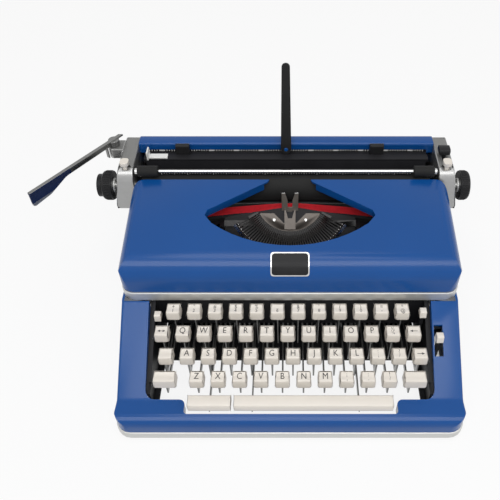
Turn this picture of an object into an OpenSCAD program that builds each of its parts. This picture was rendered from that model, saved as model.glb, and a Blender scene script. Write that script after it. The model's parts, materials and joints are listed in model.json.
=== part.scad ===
// Portable manual typewriter with a painted metal casing.
// Millimetres, +Z up, +Y to the rear. Inside the modules x is measured from the machine's
// centre line, y from the front face of the casing and z from the table; in_row_frame()
// then moves everything so that the origin is under the middle of the whole object.

/* [Keyboard] */
// Distance between neighbouring keys of one row
key_pitch = 19.05; // [18.6:0.05:19.6]
// Distance from one row of keys to the next, front to back
row_run = 18.1; // [17.6:0.1:20]
// Rise from one row of keys to the next
row_rise = 9.2; // [7:0.1:11]
// Height of the lowest letter row's key tops above the table
first_row_z = 50; // [48:0.5:56]
// Distance of the lowest letter row behind the casing's front face
first_row_y = 35; // [34:0.5:42]
// Width of a letter key's top
key_w = 13.7; // [11:0.1:14.4]
// Depth of a letter key's top
key_d = 13; // [11:0.1:13.4]
// Height of a key's top
key_h = 10; // [8:0.1:11]
// How much narrower a key's top is than its foot
key_taper = 2.2; // [1:0.1:3]
// Width of the two shift keys
shift_key_w = 21; // [18:0.5:22]
// Length of the space bar
space_bar_l = 140; // [120:1:146]
// Depth of the space bar
space_bar_d = 12; // [9:0.5:13]
// Height of the space bar and the repeat-space key
space_bar_h = 8; // [6:0.5:9]
// Width of the repeat-space key
repeat_key_w = 38; // [30:1:38]
// How far the keyboard's middle lies to the left of the machine's middle
keyboard_left = 2; // [0:0.5:4]
// Thickness of a key lever
lever_t = 1.5; // [1:0.1:1.8]
// Height of a key lever
lever_h = 6; // [4:0.5:7]
// Radius of the rod that the key levers turn on
rod_r = 2.5; // [1.5:0.1:3]
// Height of that rod above the table
rod_z = 30; // [27:0.5:32]
// Distance of that rod behind the number row
rod_back = 141; // [138:1:144]

/* [Casing] */
// Width of the casing beside the keyboard opening, on each side
wing_w = 25.5; // [22:0.5:34]
// Room between the keyboard opening and the outermost key
well_room = 6; // [5:0.5:12]
// Depth of the casing behind the ribbon cover
rear_d = 85; // [80:1:110]
// Height of the front bar above the table
bar_h = 30; // [26:0.5:32]
// Depth of the front bar at the space bar
bar_d = 9; // [7:0.5:9]
// Depth of the front shelf on both sides of the space bar
shelf_d = 23; // [20:0.5:25]
// Thickness of the casing's sheet
casing_wall = 2.2; // [1.6:0.1:3]
// Radius of the casing's upright corners
corner_r = 13; // [9:0.5:18]
// Depth of the turned-down lip round the keyboard opening
lip_d = 11; // [6:0.5:14]
// Height of the base trim
trim_h = 9; // [7:0.5:11]
// How far the base trim stands out past the casing
trim_out = 1.2; // [0.5:0.1:3]
// Width of the base trim's foot
trim_foot = 9; // [7:0.5:12]
// Height of the rubber feet
foot_h = 4; // [3:0.5:6]
// Radius of the rubber feet
foot_r = 9; // [6:0.5:11]

/* [Cover] */
// Depth of the ribbon cover
cover_d = 104.5; // [100:0.5:112]
// Height of the ribbon cover at its rear edge
cover_h = 45.5; // [43:0.5:50]
// Height of the ribbon cover where its front face turns into its top
brow_h = 28.5; // [24:0.5:32]
// Radius of that turn
brow_r = 26; // [16:0.5:30]
// Thickness of the cover's sheet
cover_wall = 1.6; // [1:0.1:2.4]
// Radius of the cover's shoulders
shoulder_r = 14; // [8:0.5:20]
// Half the width of the type opening, tip to tip
eye_half = 80; // [70:1:90]
// Half the width of the type opening's neck at the rear edge
neck_half = 17.5; // [14:0.5:24]
// Distance of the opening's front edge behind the cover's front edge
eye_front = 28; // [22:0.5:32]
// Radius of the opening's front edge
eye_r = 120; // [110:1:150]
// Depth of the turned-in lip round the opening
eye_lip = 8; // [4:0.5:10]
// Height of the trim band under the cover
band_h = 10; // [7:0.5:12]
// Thickness of the trim band
band_t = 3; // [2:0.1:4]
// Gap between the trim band and the cover
cover_gap = 0.6; // [0.4:0.1:1.5]
// Height of the spring tongues that hold the cover
tongue_h = 7; // [4:0.5:12]
// Distance from the platen's axis forward to the lower rear corner of the cover's sides
side_back = 45; // [44:0.5:50]

/* [Carriage] */
// Width of the carriage over its end plates
carriage_w = 330; // [320:1:350]
// How far the carriage stands to the left in the photographed position
carriage_left = 4; // [0:0.5:10]
// Width of an end plate
plate_w = 15; // [14:0.5:18]
// Depth of an end plate
plate_d = 56; // [54:0.5:62]
// Height of the end plates' tops above the table
plate_top = 139; // [137:0.5:142]
// How far an end plate's outer wall leans out from its top to its lower edge
plate_flare = 9; // [0:0.5:11]
// Thickness of an end plate's walls
plate_wall = 2; // [1.5:0.1:2.5]
// Radius of the platen
platen_r = 16.5; // [15.5:0.1:17]
// Length of the platen
platen_l = 284; // [270:1:286]
// Height of the platen's axis above the table
platen_z = 115; // [113:0.5:116]
// Distance of the platen's axis behind the cover's rear edge
platen_back = 12; // [11:0.5:14]
// Room between an end of the platen and the end plate
platen_room = 6; // [4:0.5:8]
// Radius of the platen's shaft
shaft_r = 4; // [3:0.1:5]
// Radius of the platen knobs
knob_r = 14.5; // [11:0.5:15.5]
// Length of the left knob
left_knob_l = 17; // [14:0.5:32]
// Length of the right knob
right_knob_l = 11.5; // [9:0.5:28]
// Radius of the paper bail's rollers
bail_roller_r = 5.5; // [4.5:0.1:6]
// Length of a bail roller
bail_roller_l = 20; // [14:0.5:22]
// Radius of the paper bail's rod
bail_rod_r = 1.5; // [1:0.1:2]
// Width of the flat top of the paper rest
rest_top_d = 15; // [9:0.5:15.5]
// Height of the paper rest's top above the table
rest_top = 142; // [140:0.5:146]
// Depth of the margin rail
rail_d = 8; // [4:0.5:8.5]
// Height of the margin rail
rail_h = 4; // [3.5:0.5:8]
// Width of a margin stop
stop_w = 14; // [10:0.5:18]
// Distance of the margin stops from the carriage's middle
stop_x = 100; // [98:1:120]
// Length of the paper support arm
support_l = 88; // [70:1:93]
// Width of the paper support arm at its foot
support_w = 10.6; // [8:0.2:10.8]
// Width of the paper support arm at its tip
support_tip_w = 7.8; // [6:0.2:10]
// Backward lean of the paper support arm in degrees
support_lean = 12; // [8:1:14]
// Length of the return lever
lever_l = 103; // [85:1:125]
// Height of the return lever's paddle at its tip
paddle_h = 17; // [12:0.5:17]
// Angle of the return lever to the side of straight ahead in degrees
lever_angle = 36.5; // [25:0.5:60]

/* [Type basket] */
// Number of typebars
bar_count = 44; // [30:1:46]
// Radius of the ring of typebar pivots
pivot_r = 41; // [38:0.5:44]
// Half the angle of the fan of typebars in degrees
fan_half = 60; // [50:1:64]
// Angle that a typebar swings through in degrees
swing = 118; // [112:1:122]
// Thickness of a typebar
bar_t = 1; // [0.8:0.05:1.2]
// Width of a typebar
bar_w = 3.5; // [2.5:0.1:4]
// Width of the type at a typebar's end
type_w = 2.3; // [1.8:0.1:2.5]
// Radius of the grey plate inside the ring
disc_r = 35; // [28:0.5:36]
// Radius of a ribbon spool
spool_r = 20; // [16:0.5:22]
// Thickness of a spool's flanges
spool_wall = 1.2; // [0.8:0.1:2]
// Distance of the spools from the machine's middle
spool_x = 104; // [98:1:106]
// Width of the ribbon
ribbon_w = 13; // [10:0.5:13]

/* [Inside] */
// Thickness of the frame's steel
frame_t = 2.5; // [2:0.1:3]
// Side of the square carriage rails
track = 6; // [4:0.5:8]
// Radius of the mainspring drum
drum_r = 20; // [15:0.5:24]
// Thickness of the tray under the key levers
tray_t = 2.4; // [1.5:0.1:4]
// Width of the ledges beside the key levers
ledge_w = 5; // [3:0.5:5.5]
// Thickness of those ledges
ledge_t = 2; // [1:0.1:4]

/* [Hidden] */
$fn = 64;

// Clearances
running = 0.05;
snug = 0.1;
seat = 0.3;
apart = 1;

// Colours
casing_blue = [0.07, 0.20, 0.52];
trim_grey = [0.68, 0.68, 0.66];
plate_silver = [0.72, 0.72, 0.72];
steel = [0.62, 0.62, 0.62];
frame_black = [0.10, 0.10, 0.11];
soft_black = [0.05, 0.05, 0.05];
key_cream = [0.86, 0.84, 0.77];
type_grey = [0.40, 0.38, 0.36];
ribbon_red = [0.62, 0.05, 0.06];

// Rows of keys: 0 is the lowest letter row, 3 the number row
letters_per_row = [10, 11, 11, 12];
row_shift = [1.25, 0.75, 0.5, 0];
number_x = -keyboard_left - (letters_per_row[3] - 1) / 2 * key_pitch;
function row_y(row) = first_row_y + row * row_run;
function row_z(row) = first_row_z + row * row_rise;
function key_x(row, i) = number_x + (row_shift[row] + i) * key_pitch;
space_y = bar_d + seat + apart + space_bar_d / 2;
space_z = first_row_z - row_rise;
rod_y = row_y(3) + rod_back;
lever_z = rod_z - lever_h / 2 - 2;
lever_front = 3;
hub_r = rod_r + 2;
socket_d = 4;

// Keyboard opening and casing
left_key_edge = key_x(2, -1) - key_w / 2;
right_key_edge = key_x(1, 11) + key_w / 2;
well_half = max(-left_key_edge, right_key_edge) + well_room;
body_half = well_half + wing_w;
base_z = foot_h + trim_h;
band_y = row_y(3) + key_d / 2 + 2.7;
band_z = row_z(3) - 0.6;
band_top = band_z + band_h;
cover_front = band_y + 1.5;
cover_low = band_top + cover_gap;
cover_rear = cover_front + cover_d;
cover_rear_z = cover_low + cover_h - cover_gap;
cover_half = body_half;
brow_z = cover_low + brow_h;
brow_y = cover_front + 5;
cover_slope = atan((cover_rear_z - brow_z) / (cover_rear - brow_y));
body_d = cover_rear + rear_d;
rear_wall_z = band_top - 1;
tongue_l = 12;
side_low_y = cover_rear + platen_back - side_back;
tongue_t = 1.5;
well_corner_r = 8;
notch_left = key_x(0, 0) - 11;
notch_right = key_x(0, 9) + 7;
slot_x = well_half + 5.5;
slot_y = row_y(1) + 14;
slot_w = 8;
slot_l = 24;
far = 400;

// Carriage
plate_front = cover_rear + 2.5;
plate_rear = plate_front + plate_d;
inner_half = max(carriage_w / 2 - plate_w, platen_l / 2 + platen_room);
plate_half = inner_half + plate_w;
platen_y = cover_rear + platen_back;
track_z = rear_wall_z + 2;
bed_low = track_z + track + seat;
bed_t = 5.5;
pan_gap = 1.2;
pan_t = 1.2;
pan_low = platen_z - platen_r - pan_gap - pan_t;
plate_low = bed_low + 0.7;
apron_low = plate_low - 3.5;
plate_end = plate_rear + 5;
function flare(z) = plate_flare * (plate_top - z) / (plate_top - apron_low);
collar_r = shaft_r + 3;
collar_l = 1.8;
end_button_l = 5;
knob_gap = 0.8;
knob_x = plate_half + flare(platen_z - knob_r) - collar_l + knob_gap;
rear_deck_y = plate_rear + 2;
rest_rear = plate_rear + 1.5;
rest_front = rest_rear - rest_top_d;
rest_t = 2;
rail_rear = rest_front;
rail_front = rest_front - 15.5;
rail_low = rest_top - 12;
rail_top = rail_low + rail_h;
lip_t = 2;
rail_half = inner_half - 6.5;
bail_gap = 0.3;
bail_tilt = 12;
bail_reach = platen_r + bail_roller_r + bail_gap;
bail_y = platen_y - bail_reach * sin(bail_tilt);
bail_z = platen_z + bail_reach * cos(bail_tilt);
bail_pivot_y = platen_y + 21.5;
bail_pivot_z = platen_z + 2;
bail_arm_x = inner_half - 3.5;
bail_arm_t = 2;
bail_pin_r = 2;
stud_x = -plate_half - 9;
stud_y = plate_rear - 14;
stud_r = 3;
block_top = plate_top + 2;
lever_low = block_top + seat;
lever_top = lever_low + 7;
flange_t = 2;
flange_half = 1.9;
lever_hub_r = 5.5;
bracket_h = 12;
bracket_half = 8;
bracket_out = 6;
leg_d = 10.5;
leg_h = 10;
leg_t = 1.3;
support_y = rail_rear - 4.5;
support_z = rail_low + lip_t + support_w / 2 + 0.7;
support_t = 2.4;
support_pin_r = 2;
release_y = plate_front + 9;
paper_release_y = plate_front + 28.5;
paper_release_z = platen_z - 3;
button_travel = 3;

// Type basket, in a plane tilted back by 45 degrees through the printing point
print_y = platen_y - platen_r;
print_z = platen_z;
basket_tilt = 45;
bar_step = 2 * fan_half / (bar_count - 1);
live_bar = floor(bar_count / 2);
function bar_angle(i) = (i - (bar_count - 1) / 2) * bar_step;
type_l = 6;
type_d = 3.2;
type_gap = 0.5;
bar_l = pivot_r - type_d / 2 - type_gap;
slot_clear = 0.25;
ring_in = disc_r + seat;
ring_out = pivot_r + 5;
ring_low = -6;
ring_high = 2.5;
ear_half = 65.7;
post_x = ear_half + seat;
post_w = 4;
spool_y = cover_rear - 39.5;
spindle_r = 2.4;
ribbon_low = print_z - 20;
ribbon_room = 0.5;
spool_h = ribbon_w + 2 * (spool_wall + ribbon_room);
deck_z = ribbon_low - ribbon_room - spool_wall - seat;
ribbon_y = print_y - 3.5;
ribbon_t = 0.3;
ribbon_turn_x = 55;
vibrator_y = ribbon_y - 0.4 - 1.5;
vibrator_t = 1.5;
vibrator_half = 8.2;

// Frame
frame_in = well_half - 4.5;
frame_out = frame_in + frame_t;
comb_y = band_y + 4.5;
rear_plate_y = rod_y + 29;
frame_front = shelf_d + 14;
step_front = rod_y - 26;
step_rear = rod_y - 16;
foot_bar = 8;
foot_bar_t = 1.8;
comb_top = band_z + 4;
tray_front = row_y(2) + 5;
ledge_front = shelf_d + 8;
front_rail_y = plate_front + 16;
rear_rail_y = plate_rear - 10;
drum_x = -(frame_in - drum_r - 8);
drum_y = rear_plate_y + frame_t + apart;
drum_z = rod_z + 32;
drum_w = 14;
drum_stud_r = 3;

// Middle of the whole object in plan
lever_tip_x = stud_x - carriage_left - lever_l * sin(lever_angle) - flange_half * cos(lever_angle);
knob_end_x = knob_x - carriage_left + right_knob_l;
centre_x = (lever_tip_x + knob_end_x) / 2;
centre_y = body_d / 2;

module in_row_frame() {
    translate([-centre_x, -centre_y, 0]) children();
}

module on_carriage() {
    in_row_frame() translate([-carriage_left, 0, 0]) children();
}

module in_basket() {
    in_row_frame() translate([0, print_y, print_z]) rotate([basket_tilt, 0, 0]) children();
}

// Points on an arc
function arc(c, r, from, to, steps) =
    [for (i = [0:steps]) let (a = from + (to - from) * i / steps) c + r * [cos(a), sin(a)]];

function unit(v) = v / norm(v);

// A corner b between a and c, rounded with radius r
function round_corner(a, b, c, r, steps) =
    r <= 0 ? [b] :
    let (u = unit(a - b), v = unit(c - b), half = acos(u * v) / 2,
        middle = b + unit(u + v) * r / sin(half),
        s = b + u * r / tan(half) - middle, e = b + v * r / tan(half) - middle,
        from = atan2(s[1], s[0]), turn = atan2(e[1], e[0]) - from,
        to = from + (turn > 180 ? turn - 360 : turn < -180 ? turn + 360 : turn))
    arc(middle, r, from, to, steps);

// An outline with its corners rounded, each by its own radius
function rounded(p, r, steps = 5) =
    [for (i = [0:len(p) - 1])
        each round_corner(p[(i + len(p) - 1) % len(p)], p[i], p[(i + 1) % len(p)], r[i], steps)];

function round_rect(x0, x1, y0, y1, r, steps = 5) =
    rounded([[x0, y0], [x1, y0], [x1, y1], [x0, y1]], [r, r, r, r], steps);

// A side outline of y and z, drawn out from x0 to x1
module side(outline, x0, x1) {
    translate([x0, 0, 0]) rotate([90, 0, 90]) linear_extrude(x1 - x0) polygon(outline);
}

// A front outline of x and z, drawn out from y0 to y1
module front(outline, y0, y1) {
    translate([0, y1, 0]) rotate([90, 0, 0]) linear_extrude(y1 - y0) polygon(outline);
}

// A plan outline of x and y, drawn up from z0 to z1
module plan(outline, z0, z1) {
    translate([0, 0, z0]) linear_extrude(z1 - z0) polygon(outline);
}

module box(low, high) {
    translate(low) cube(high - low);
}

// A rod along x
module rod(x0, x1, y, z, r) {
    translate([x0, y, z]) rotate([0, 90, 0]) cylinder(h = x1 - x0, r = r);
}

function casing_plan(grow) =
    round_rect(-body_half - grow, body_half + grow, -grow, body_d + grow, corner_r + grow);

// Outer form of the lower casing, made smaller by inset for its hollow
module casing_form(inset) {
    intersection() {
        side(rounded([[inset, -far], [inset, bar_h - inset], [shelf_d - inset / 2, bar_h - inset],
            [band_y - 2, band_z - inset], [cover_rear + 4, band_z - inset],
            [cover_rear + 4, rear_wall_z - inset], [body_d - inset, rear_wall_z - inset],
            [body_d - inset, -far]], [0, bar_d - inset, 6, 0, 0, 0, 3, 0]),
            -body_half - 1, body_half + 1);
        plan(casing_plan(-inset), -far, far);
    }
}

// Plan of the keyboard opening with the notch for the space bar
function well_plan(grow) =
    rounded([[-well_half - grow, shelf_d - grow], [notch_left - grow, shelf_d - grow],
        [notch_left - grow, bar_d - grow], [notch_right + grow, bar_d - grow],
        [notch_right + grow, shelf_d - grow], [well_half + grow, shelf_d - grow],
        [well_half + grow, band_y - apart / 2], [-well_half - grow, band_y - apart / 2]],
        [well_corner_r + grow, 5 - grow, 3 + grow, 3 + grow, 5 - grow, well_corner_r + grow, 0, 0]);

module lower_casing() {
    in_row_frame() color(casing_blue) difference() {
        union() {
            difference() {
                casing_form(0);
                casing_form(casing_wall);
                plan(well_plan(0), base_z, far);
                intersection() {
                    plan(casing_plan(-casing_wall), base_z, far);
                    box([-far, band_y - apart / 2, 0], [far, rear_deck_y, far]);
                }
            }
            difference() {
                intersection() {
                    casing_form(0);
                    plan(well_plan(casing_wall), base_z, far);
                }
                plan(well_plan(0), 0, far);
                translate([0, 0, -lip_d]) casing_form(0);
            }
        }
        box([-far, -far, -far], [far, far, base_z]);
        box([slot_x - slot_w / 2, slot_y - slot_l / 2, base_z],
            [slot_x + slot_w / 2, slot_y + slot_l / 2, far]);
    }
}

function foot_spots() = [for (x = [-1, 1], y = [0, 1])
    [x * (body_half - foot_r - 4), y == 0 ? foot_r + 4 : body_d - foot_r - 4]];

module base_trim() {
    in_row_frame() color(trim_grey) {
        difference() {
            plan(casing_plan(trim_out), foot_h, base_z);
            plan(casing_plan(-trim_foot), 0, far);
        }
        for (p = foot_spots())
            intersection() {
                box([p[0] - foot_r - 6, p[1] - foot_r - 6, foot_h],
                    [p[0] + foot_r + 6, p[1] + foot_r + 6, foot_h + 2.5]);
                plan(casing_plan(0), 0, far);
            }
    }
}

module rubber_feet() {
    in_row_frame() color(soft_black)
        for (p = foot_spots())
            translate([p[0], p[1], 0]) cylinder(h = foot_h, r = foot_r);
}

function band_plan(inset) =
    rounded([[-body_half + inset, band_y + inset], [body_half - inset, band_y + inset],
        [body_half - inset, cover_rear + 4 - seat + inset], [-body_half + inset, cover_rear + 4 - seat + inset]],
        [corner_r - inset, corner_r - inset, 0, 0]);

// Trim band with the four tongues that the cover is pushed onto
module cover_trim() {
    outer = body_half - cover_wall - seat;
    in_row_frame() color(trim_grey) {
        difference() {
            plan(band_plan(0), band_z, band_top);
            plan(band_plan(band_t), 0, far);
        }
        for (s = [-1, 1], y = [cover_front + 26, side_low_y - tongue_l])
            translate([s * (outer - tongue_t / 2), y, 0])
                box([-tongue_t / 2, -tongue_l / 2, band_z + 2], [tongue_t / 2, tongue_l / 2, cover_low + tongue_h]);
    }
}

// Outer form of the ribbon cover, made smaller by inset for its hollow
module cover_form(inset) {
    half = cover_half - inset;
    low = -far;
    r = shoulder_r - inset / 2;
    intersection() {
        side(rounded([[cover_front + inset, low], [cover_front + inset, cover_low],
            [brow_y + inset, brow_z - inset],
            [cover_rear + inset, cover_rear_z + (inset * tan(cover_slope)) - inset],
            [cover_rear + inset, low]], [0, 0, brow_r - inset, 0, 0], 8),
            -half - 1, half + 1);
        translate([0, cover_rear, cover_rear_z - inset]) rotate([cover_slope, 0, 0])
            front(concat([[-half, low]], arc([-half + r, -r], r, 180, 90, 6),
                arc([half - r, -r], r, 90, 0, 6), [[half, low]]), -far, far);
        plan(rounded([[-half, cover_front + inset], [half, cover_front + inset],
            [half, far], [-half, far]], [corner_r - inset, corner_r - inset, 0, 0]), low, far);
    }
}

// Plan of the type opening, which runs out through the cover's rear edge
function eye_plan(grow) =
    let (bottom = cover_front + eye_front - grow, c = bottom + eye_r + grow, r = eye_r + grow,
        tip = eye_half + grow, edge = tip - 7, spread = asin(edge / r),
        tip_y = c - r * cos(spread) + 4)
    concat(arc([0, c], r, 270 - spread, 270 + spread, 14),
        [[tip, tip_y + 5], [tip - 2, tip_y + 11], [neck_half + grow + 4.5, cover_rear - 3],
        [neck_half + grow, cover_rear + 5], [-neck_half - grow, cover_rear + 5],
        [-neck_half - grow - 4.5, cover_rear - 3], [-tip + 2, tip_y + 11], [-tip, tip_y + 5]]);

module ribbon_cover() {
    in_row_frame() color(casing_blue) difference() {
        union() {
            difference() {
                cover_form(0);
                cover_form(cover_wall);
            }
            difference() {
                intersection() {
                    cover_form(0);
                    plan(eye_plan(cover_wall), cover_low, far);
                    box([-far, 0, 0], [far, cover_rear - 5, far]);
                }
                translate([0, 0, -eye_lip]) cover_form(0);
            }
        }
        plan(eye_plan(0), 0, far);
        side([[cover_rear + 1, cover_rear_z - cover_wall], [cover_rear, cover_rear_z - cover_wall],
            [side_low_y, cover_low - apart], [cover_rear + 1, cover_low - apart]], -far, far);
        box([-far, -far, -2 * far], [far, far, cover_low]);
    }
}

// A key's top with its socket, standing on z = 0
module key_top(w, socket_x = 0) {
    half = w / 2;
    deep = key_d / 2;
    in = key_taper / 2;
    difference() {
        intersection() {
            front(rounded([[-half, 0], [half, 0], [half - in, key_h], [-half + in, key_h]],
                [0, 0, 1.5, 1.5], 2), -deep, deep);
            side(rounded([[-deep, 0], [-deep + 1.5 * in, key_h - 0.5], [0, key_h - 1.1],
                [deep - in / 2, key_h], [deep, 0]], [0, 1.2, 6, 1.2, 0], 2), -half, half);
            plan(round_rect(-half, half, -deep, deep, 3, 3), -1, key_h + 1);
        }
        box([socket_x - lever_t / 2 - snug, -lever_front - snug, -1],
            [socket_x + lever_t / 2 + snug, lever_front + snug, socket_d]);
    }
}

// A key's lever from the rod to the stem under its top
module key_lever(x, y, foot_z, t = lever_t) {
    stem_top = foot_z + socket_d - snug;
    difference() {
        union() {
            side([[y - lever_front, lever_z], [rod_y, lever_z], [rod_y, lever_z + lever_h],
                [y + lever_front, lever_z + lever_h], [y + lever_front, stem_top],
                [y - lever_front, stem_top]], x - t / 2, x + t / 2);
            rod(x - t / 2, x + t / 2, rod_y, rod_z, hub_r);
        }
        rod(x - t, x + t, rod_y, rod_z, rod_r + running);
    }
}

module key(row, i, w = key_w, lever_x = 0) {
    x = key_x(row, i);
    in_row_frame() {
        color(key_cream) translate([x, row_y(row), row_z(row) - key_h]) key_top(w, lever_x);
        color(steel) key_lever(x + lever_x, row_y(row), row_z(row) - key_h);
    }
}

module number_row_keys() {
    for (i = [0:letters_per_row[3] - 1]) key(3, i);
}

module upper_row_keys() {
    for (i = [0:letters_per_row[2] - 1]) key(2, i);
}

module lower_row_keys() {
    for (i = [0:letters_per_row[0] - 1]) key(0, i);
}

module margin_release_key() {
    key(2, -1);
}

module backspace_key() {
    key(2, letters_per_row[2]);
}

module tab_key() {
    key(1, letters_per_row[1]);
}

// The lock's lever lies beside the left shift's, so it is set off to one side
module shift_lock_key() {
    key(1, -1, key_w, -key_pitch / 8);
}

// Both shift keys, joined by a bar under the letter levers
module shift_keys() {
    left = -1.5;
    right = 10.2;
    left_lever = 0.6;
    right_lever = -key_pitch / 5;
    bar_z = lever_z - 11;
    bar_y = rod_y - 22;
    x0 = key_x(0, left) + left_lever;
    x1 = key_x(0, right) + right_lever;
    key(0, left, shift_key_w, left_lever);
    key(0, right, shift_key_w, right_lever);
    in_row_frame() color(steel) {
        box([x0 + lever_t / 2 + snug, bar_y, bar_z], [x1 - lever_t / 2 - snug, bar_y + lever_h, bar_z + 5]);
        for (x = [x0, x1])
            box([x - lever_t / 2, bar_y, bar_z], [x + lever_t / 2, bar_y + lever_h, lever_z + 1]);
    }
}

// A bar-shaped key that stands in the front notch, on levers between the letter levers
module notch_key(x0, x1, lanes) {
    t = 1.2;
    foot = space_z - space_bar_h;
    deep = space_bar_d / 2;
    in_row_frame() {
        color(key_cream) difference() {
            intersection() {
                side(rounded([[space_y - deep, foot], [space_y - deep + 1, space_z - 0.8],
                    [space_y + deep - 0.6, space_z], [space_y + deep, foot]],
                    [0, 1.5, 1.5, 0], 3), x0, x1);
                plan(round_rect(x0, x1, space_y - deep, space_y + deep, 1.2, 2), 0, far);
            }
            for (lane = lanes)
                box([lane - t / 2 - snug, space_y - lever_front - snug, 0],
                    [lane + t / 2 + snug, space_y + lever_front + snug, foot + socket_d]);
        }
        color(steel)
            for (lane = lanes) key_lever(lane, space_y, foot, t);
    }
}

// Lanes between the levers of the letters
lane_shift = (key_pitch * (row_shift[0] + row_shift[1]) + lever_t / 2 - key_w / 2) / 2;
function lane(i) = number_x + i * key_pitch + lane_shift;
repeat_x0 = notch_left + 4;
repeat_x1 = repeat_x0 + repeat_key_w;
space_x0 = repeat_x1 + 2.6;

module space_bar() {
    notch_key(space_x0, space_x0 + space_bar_l, [lane(3), lane(8)]);
}

module repeat_space_key() {
    notch_key(repeat_x0, repeat_x1, [lane(1)]);
}

module key_a() { key(1, 0); }
module key_s() { key(1, 1); }
module key_d_letter() { key(1, 2); }
module key_f() { key(1, 3); }
module key_g() { key(1, 4); }
module key_h_letter() { key(1, 5); }
module key_j() { key(1, 6); }
module key_k() { key(1, 7); }
module key_l() { key(1, 8); }
module key_semicolon() { key(1, 9); }
module key_question() { key(1, 10); }

// Small levers beside the keyboard: pin place, height of the cream top and its x
small_pin_r = 2;
small_t = 3;
reverse_x = -frame_in + 4;
selector_x = frame_in - 4;
small_pin_y = row_y(3) - 2;
small_pin_z = rod_z + 10;
touch_pin_z = lever_z;
reverse_top = row_z(2) + 4;
selector_top = row_z(3);
touch_top = row_z(1) + 8;

module small_lever(x, y, pin_z, top, cap_w, bored = true) {
    cap_h = 7;
    in_row_frame() {
        color(frame_black) difference() {
            union() {
                rod(x - small_t / 2, x + small_t / 2, y, pin_z, small_pin_r + 2.5);
                box([x - small_t / 2, y - 2.5, pin_z], [x + small_t / 2, y + 2.5, top - cap_h]);
            }
            if (bored) rod(x - small_t, x + small_t, y, pin_z, small_pin_r + running);
        }
        color(key_cream) intersection() {
            box([x - cap_w / 2, y - 4.5, top - cap_h], [x + cap_w / 2, y + 4.5, top]);
            side(rounded([[y - 4.5, top - cap_h], [y + 4.5, top - cap_h], [y + 3, top], [y - 3, top]],
                [0, 0, 1.5, 1.5], 3), x - cap_w, x + cap_w);
        }
    }
}

module ribbon_reverse_lever() {
    small_lever(reverse_x, small_pin_y, small_pin_z, reverse_top, 6);
}

module colour_selector() {
    small_lever(selector_x, small_pin_y, small_pin_z, selector_top, 6);
}

// This lever's own pin turns in the frame's right side plate
module touch_control() {
    small_lever(slot_x, slot_y, touch_pin_z, touch_top, 6.4, false);
    in_row_frame() color(frame_black) rod(frame_in - apart, slot_x, slot_y, touch_pin_z, small_pin_r);
}

// Two side plates with the cross pieces, decks, studs and the rod of the key levers
module main_frame() {
    in_row_frame() color(frame_black) {
        for (s = [-1, 1]) {
            x0 = s > 0 ? frame_in : -frame_out;
            difference() {
                side([[frame_front, base_z], [plate_rear, base_z], [plate_rear, track_z],
                    [step_rear, track_z], [step_front, band_z - 4], [comb_y, band_z - 4],
                    [row_y(2), rod_z + 6], [frame_front, rod_z - 4]], x0, x0 + frame_t);
                if (s > 0) rod(frame_in - 1, frame_out + 1, slot_y, touch_pin_z, small_pin_r + running);
            }
            box([s > 0 ? frame_in - ledge_w : -frame_in - 0.5, ledge_front, base_z],
                [s > 0 ? frame_in + 0.5 : -frame_in + ledge_w, comb_y + 1, base_z + ledge_t]);
            deck_in = s > 0 ? post_x : -frame_in - 0.5;
            deck_out = s > 0 ? frame_in + 0.5 : -post_x;
            box([deck_in, spool_y - spool_r - 2, deck_z - frame_t],
                [deck_out, spool_y + spool_r + 2, deck_z]);
            side([[step_front, band_z - 4], [spool_y + spool_r + 2, deck_z - 0.5],
                [spool_y - spool_r - 2, deck_z - 0.5], [spool_y - spool_r - 2, band_z - 10],
                [step_front, band_z - 10]], x0, x0 + frame_t);
            box([s > 0 ? post_x : -post_x - post_w, spool_y + spool_r - 6, deck_z - 36],
                [s > 0 ? post_x + post_w : -post_x, spool_y + spool_r + 2, deck_z + 1]);
            translate([s * spool_x, spool_y, deck_z - 1]) cylinder(h = spool_h + 3, r = spindle_r);
        }
        rod(-frame_in - 0.5, frame_in + 0.5, rod_y, rod_z, rod_r);
        box([-frame_in - 0.5, comb_y, rod_z + 6], [frame_in + 0.5, comb_y + frame_t, comb_top]);
        for (y = [comb_y, plate_rear - foot_bar])
            box([-body_half + casing_wall + seat, y, base_z],
                [body_half - casing_wall - seat, y + foot_bar, base_z + foot_bar_t]);
        box([-frame_in + apart, tray_front, base_z - tray_t], [frame_in - apart, comb_y + 1, base_z]);
        box([-frame_in + apart, comb_y, base_z - tray_t], [frame_in - apart, comb_y + foot_bar, base_z + 1]);
        box([-frame_in - 0.5, rear_plate_y, rod_z + 8],
            [frame_in + 0.5, rear_plate_y + frame_t, track_z - 2]);
        translate([drum_x, rear_plate_y + 1, drum_z]) rotate([-90, 0, 0])
            cylinder(h = drum_w + frame_t + 2, r = drum_stud_r);
        rod(-frame_in, reverse_x + small_t, small_pin_y, small_pin_z, small_pin_r);
        rod(selector_x - small_t, frame_in, small_pin_y, small_pin_z, small_pin_r);
        for (s = [-1, 1])
            box([s > 0 ? frame_in : -frame_out, small_pin_y - 5, rod_z],
                [s > 0 ? frame_out : -frame_in, small_pin_y + 5, small_pin_z + 5]);
    }
}

module carriage_rails() {
    in_row_frame() color(steel)
        for (y = [front_rail_y, rear_rail_y])
            box([-body_half + 4, y - track / 2, track_z], [body_half - 4, y + track / 2, track_z + track]);
}

module mainspring_drum() {
    in_row_frame() color(steel)
        translate([drum_x, drum_y, drum_z]) rotate([-90, 0, 0]) difference() {
            cylinder(h = drum_w, r = drum_r);
            translate([0, 0, -1]) cylinder(h = drum_w + 2, r = drum_stud_r + running);
            translate([0, 0, 3]) rotate_extrude()
                translate([drum_r - 2, 0]) square([4, drum_w - 6]);
        }
}

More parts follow.
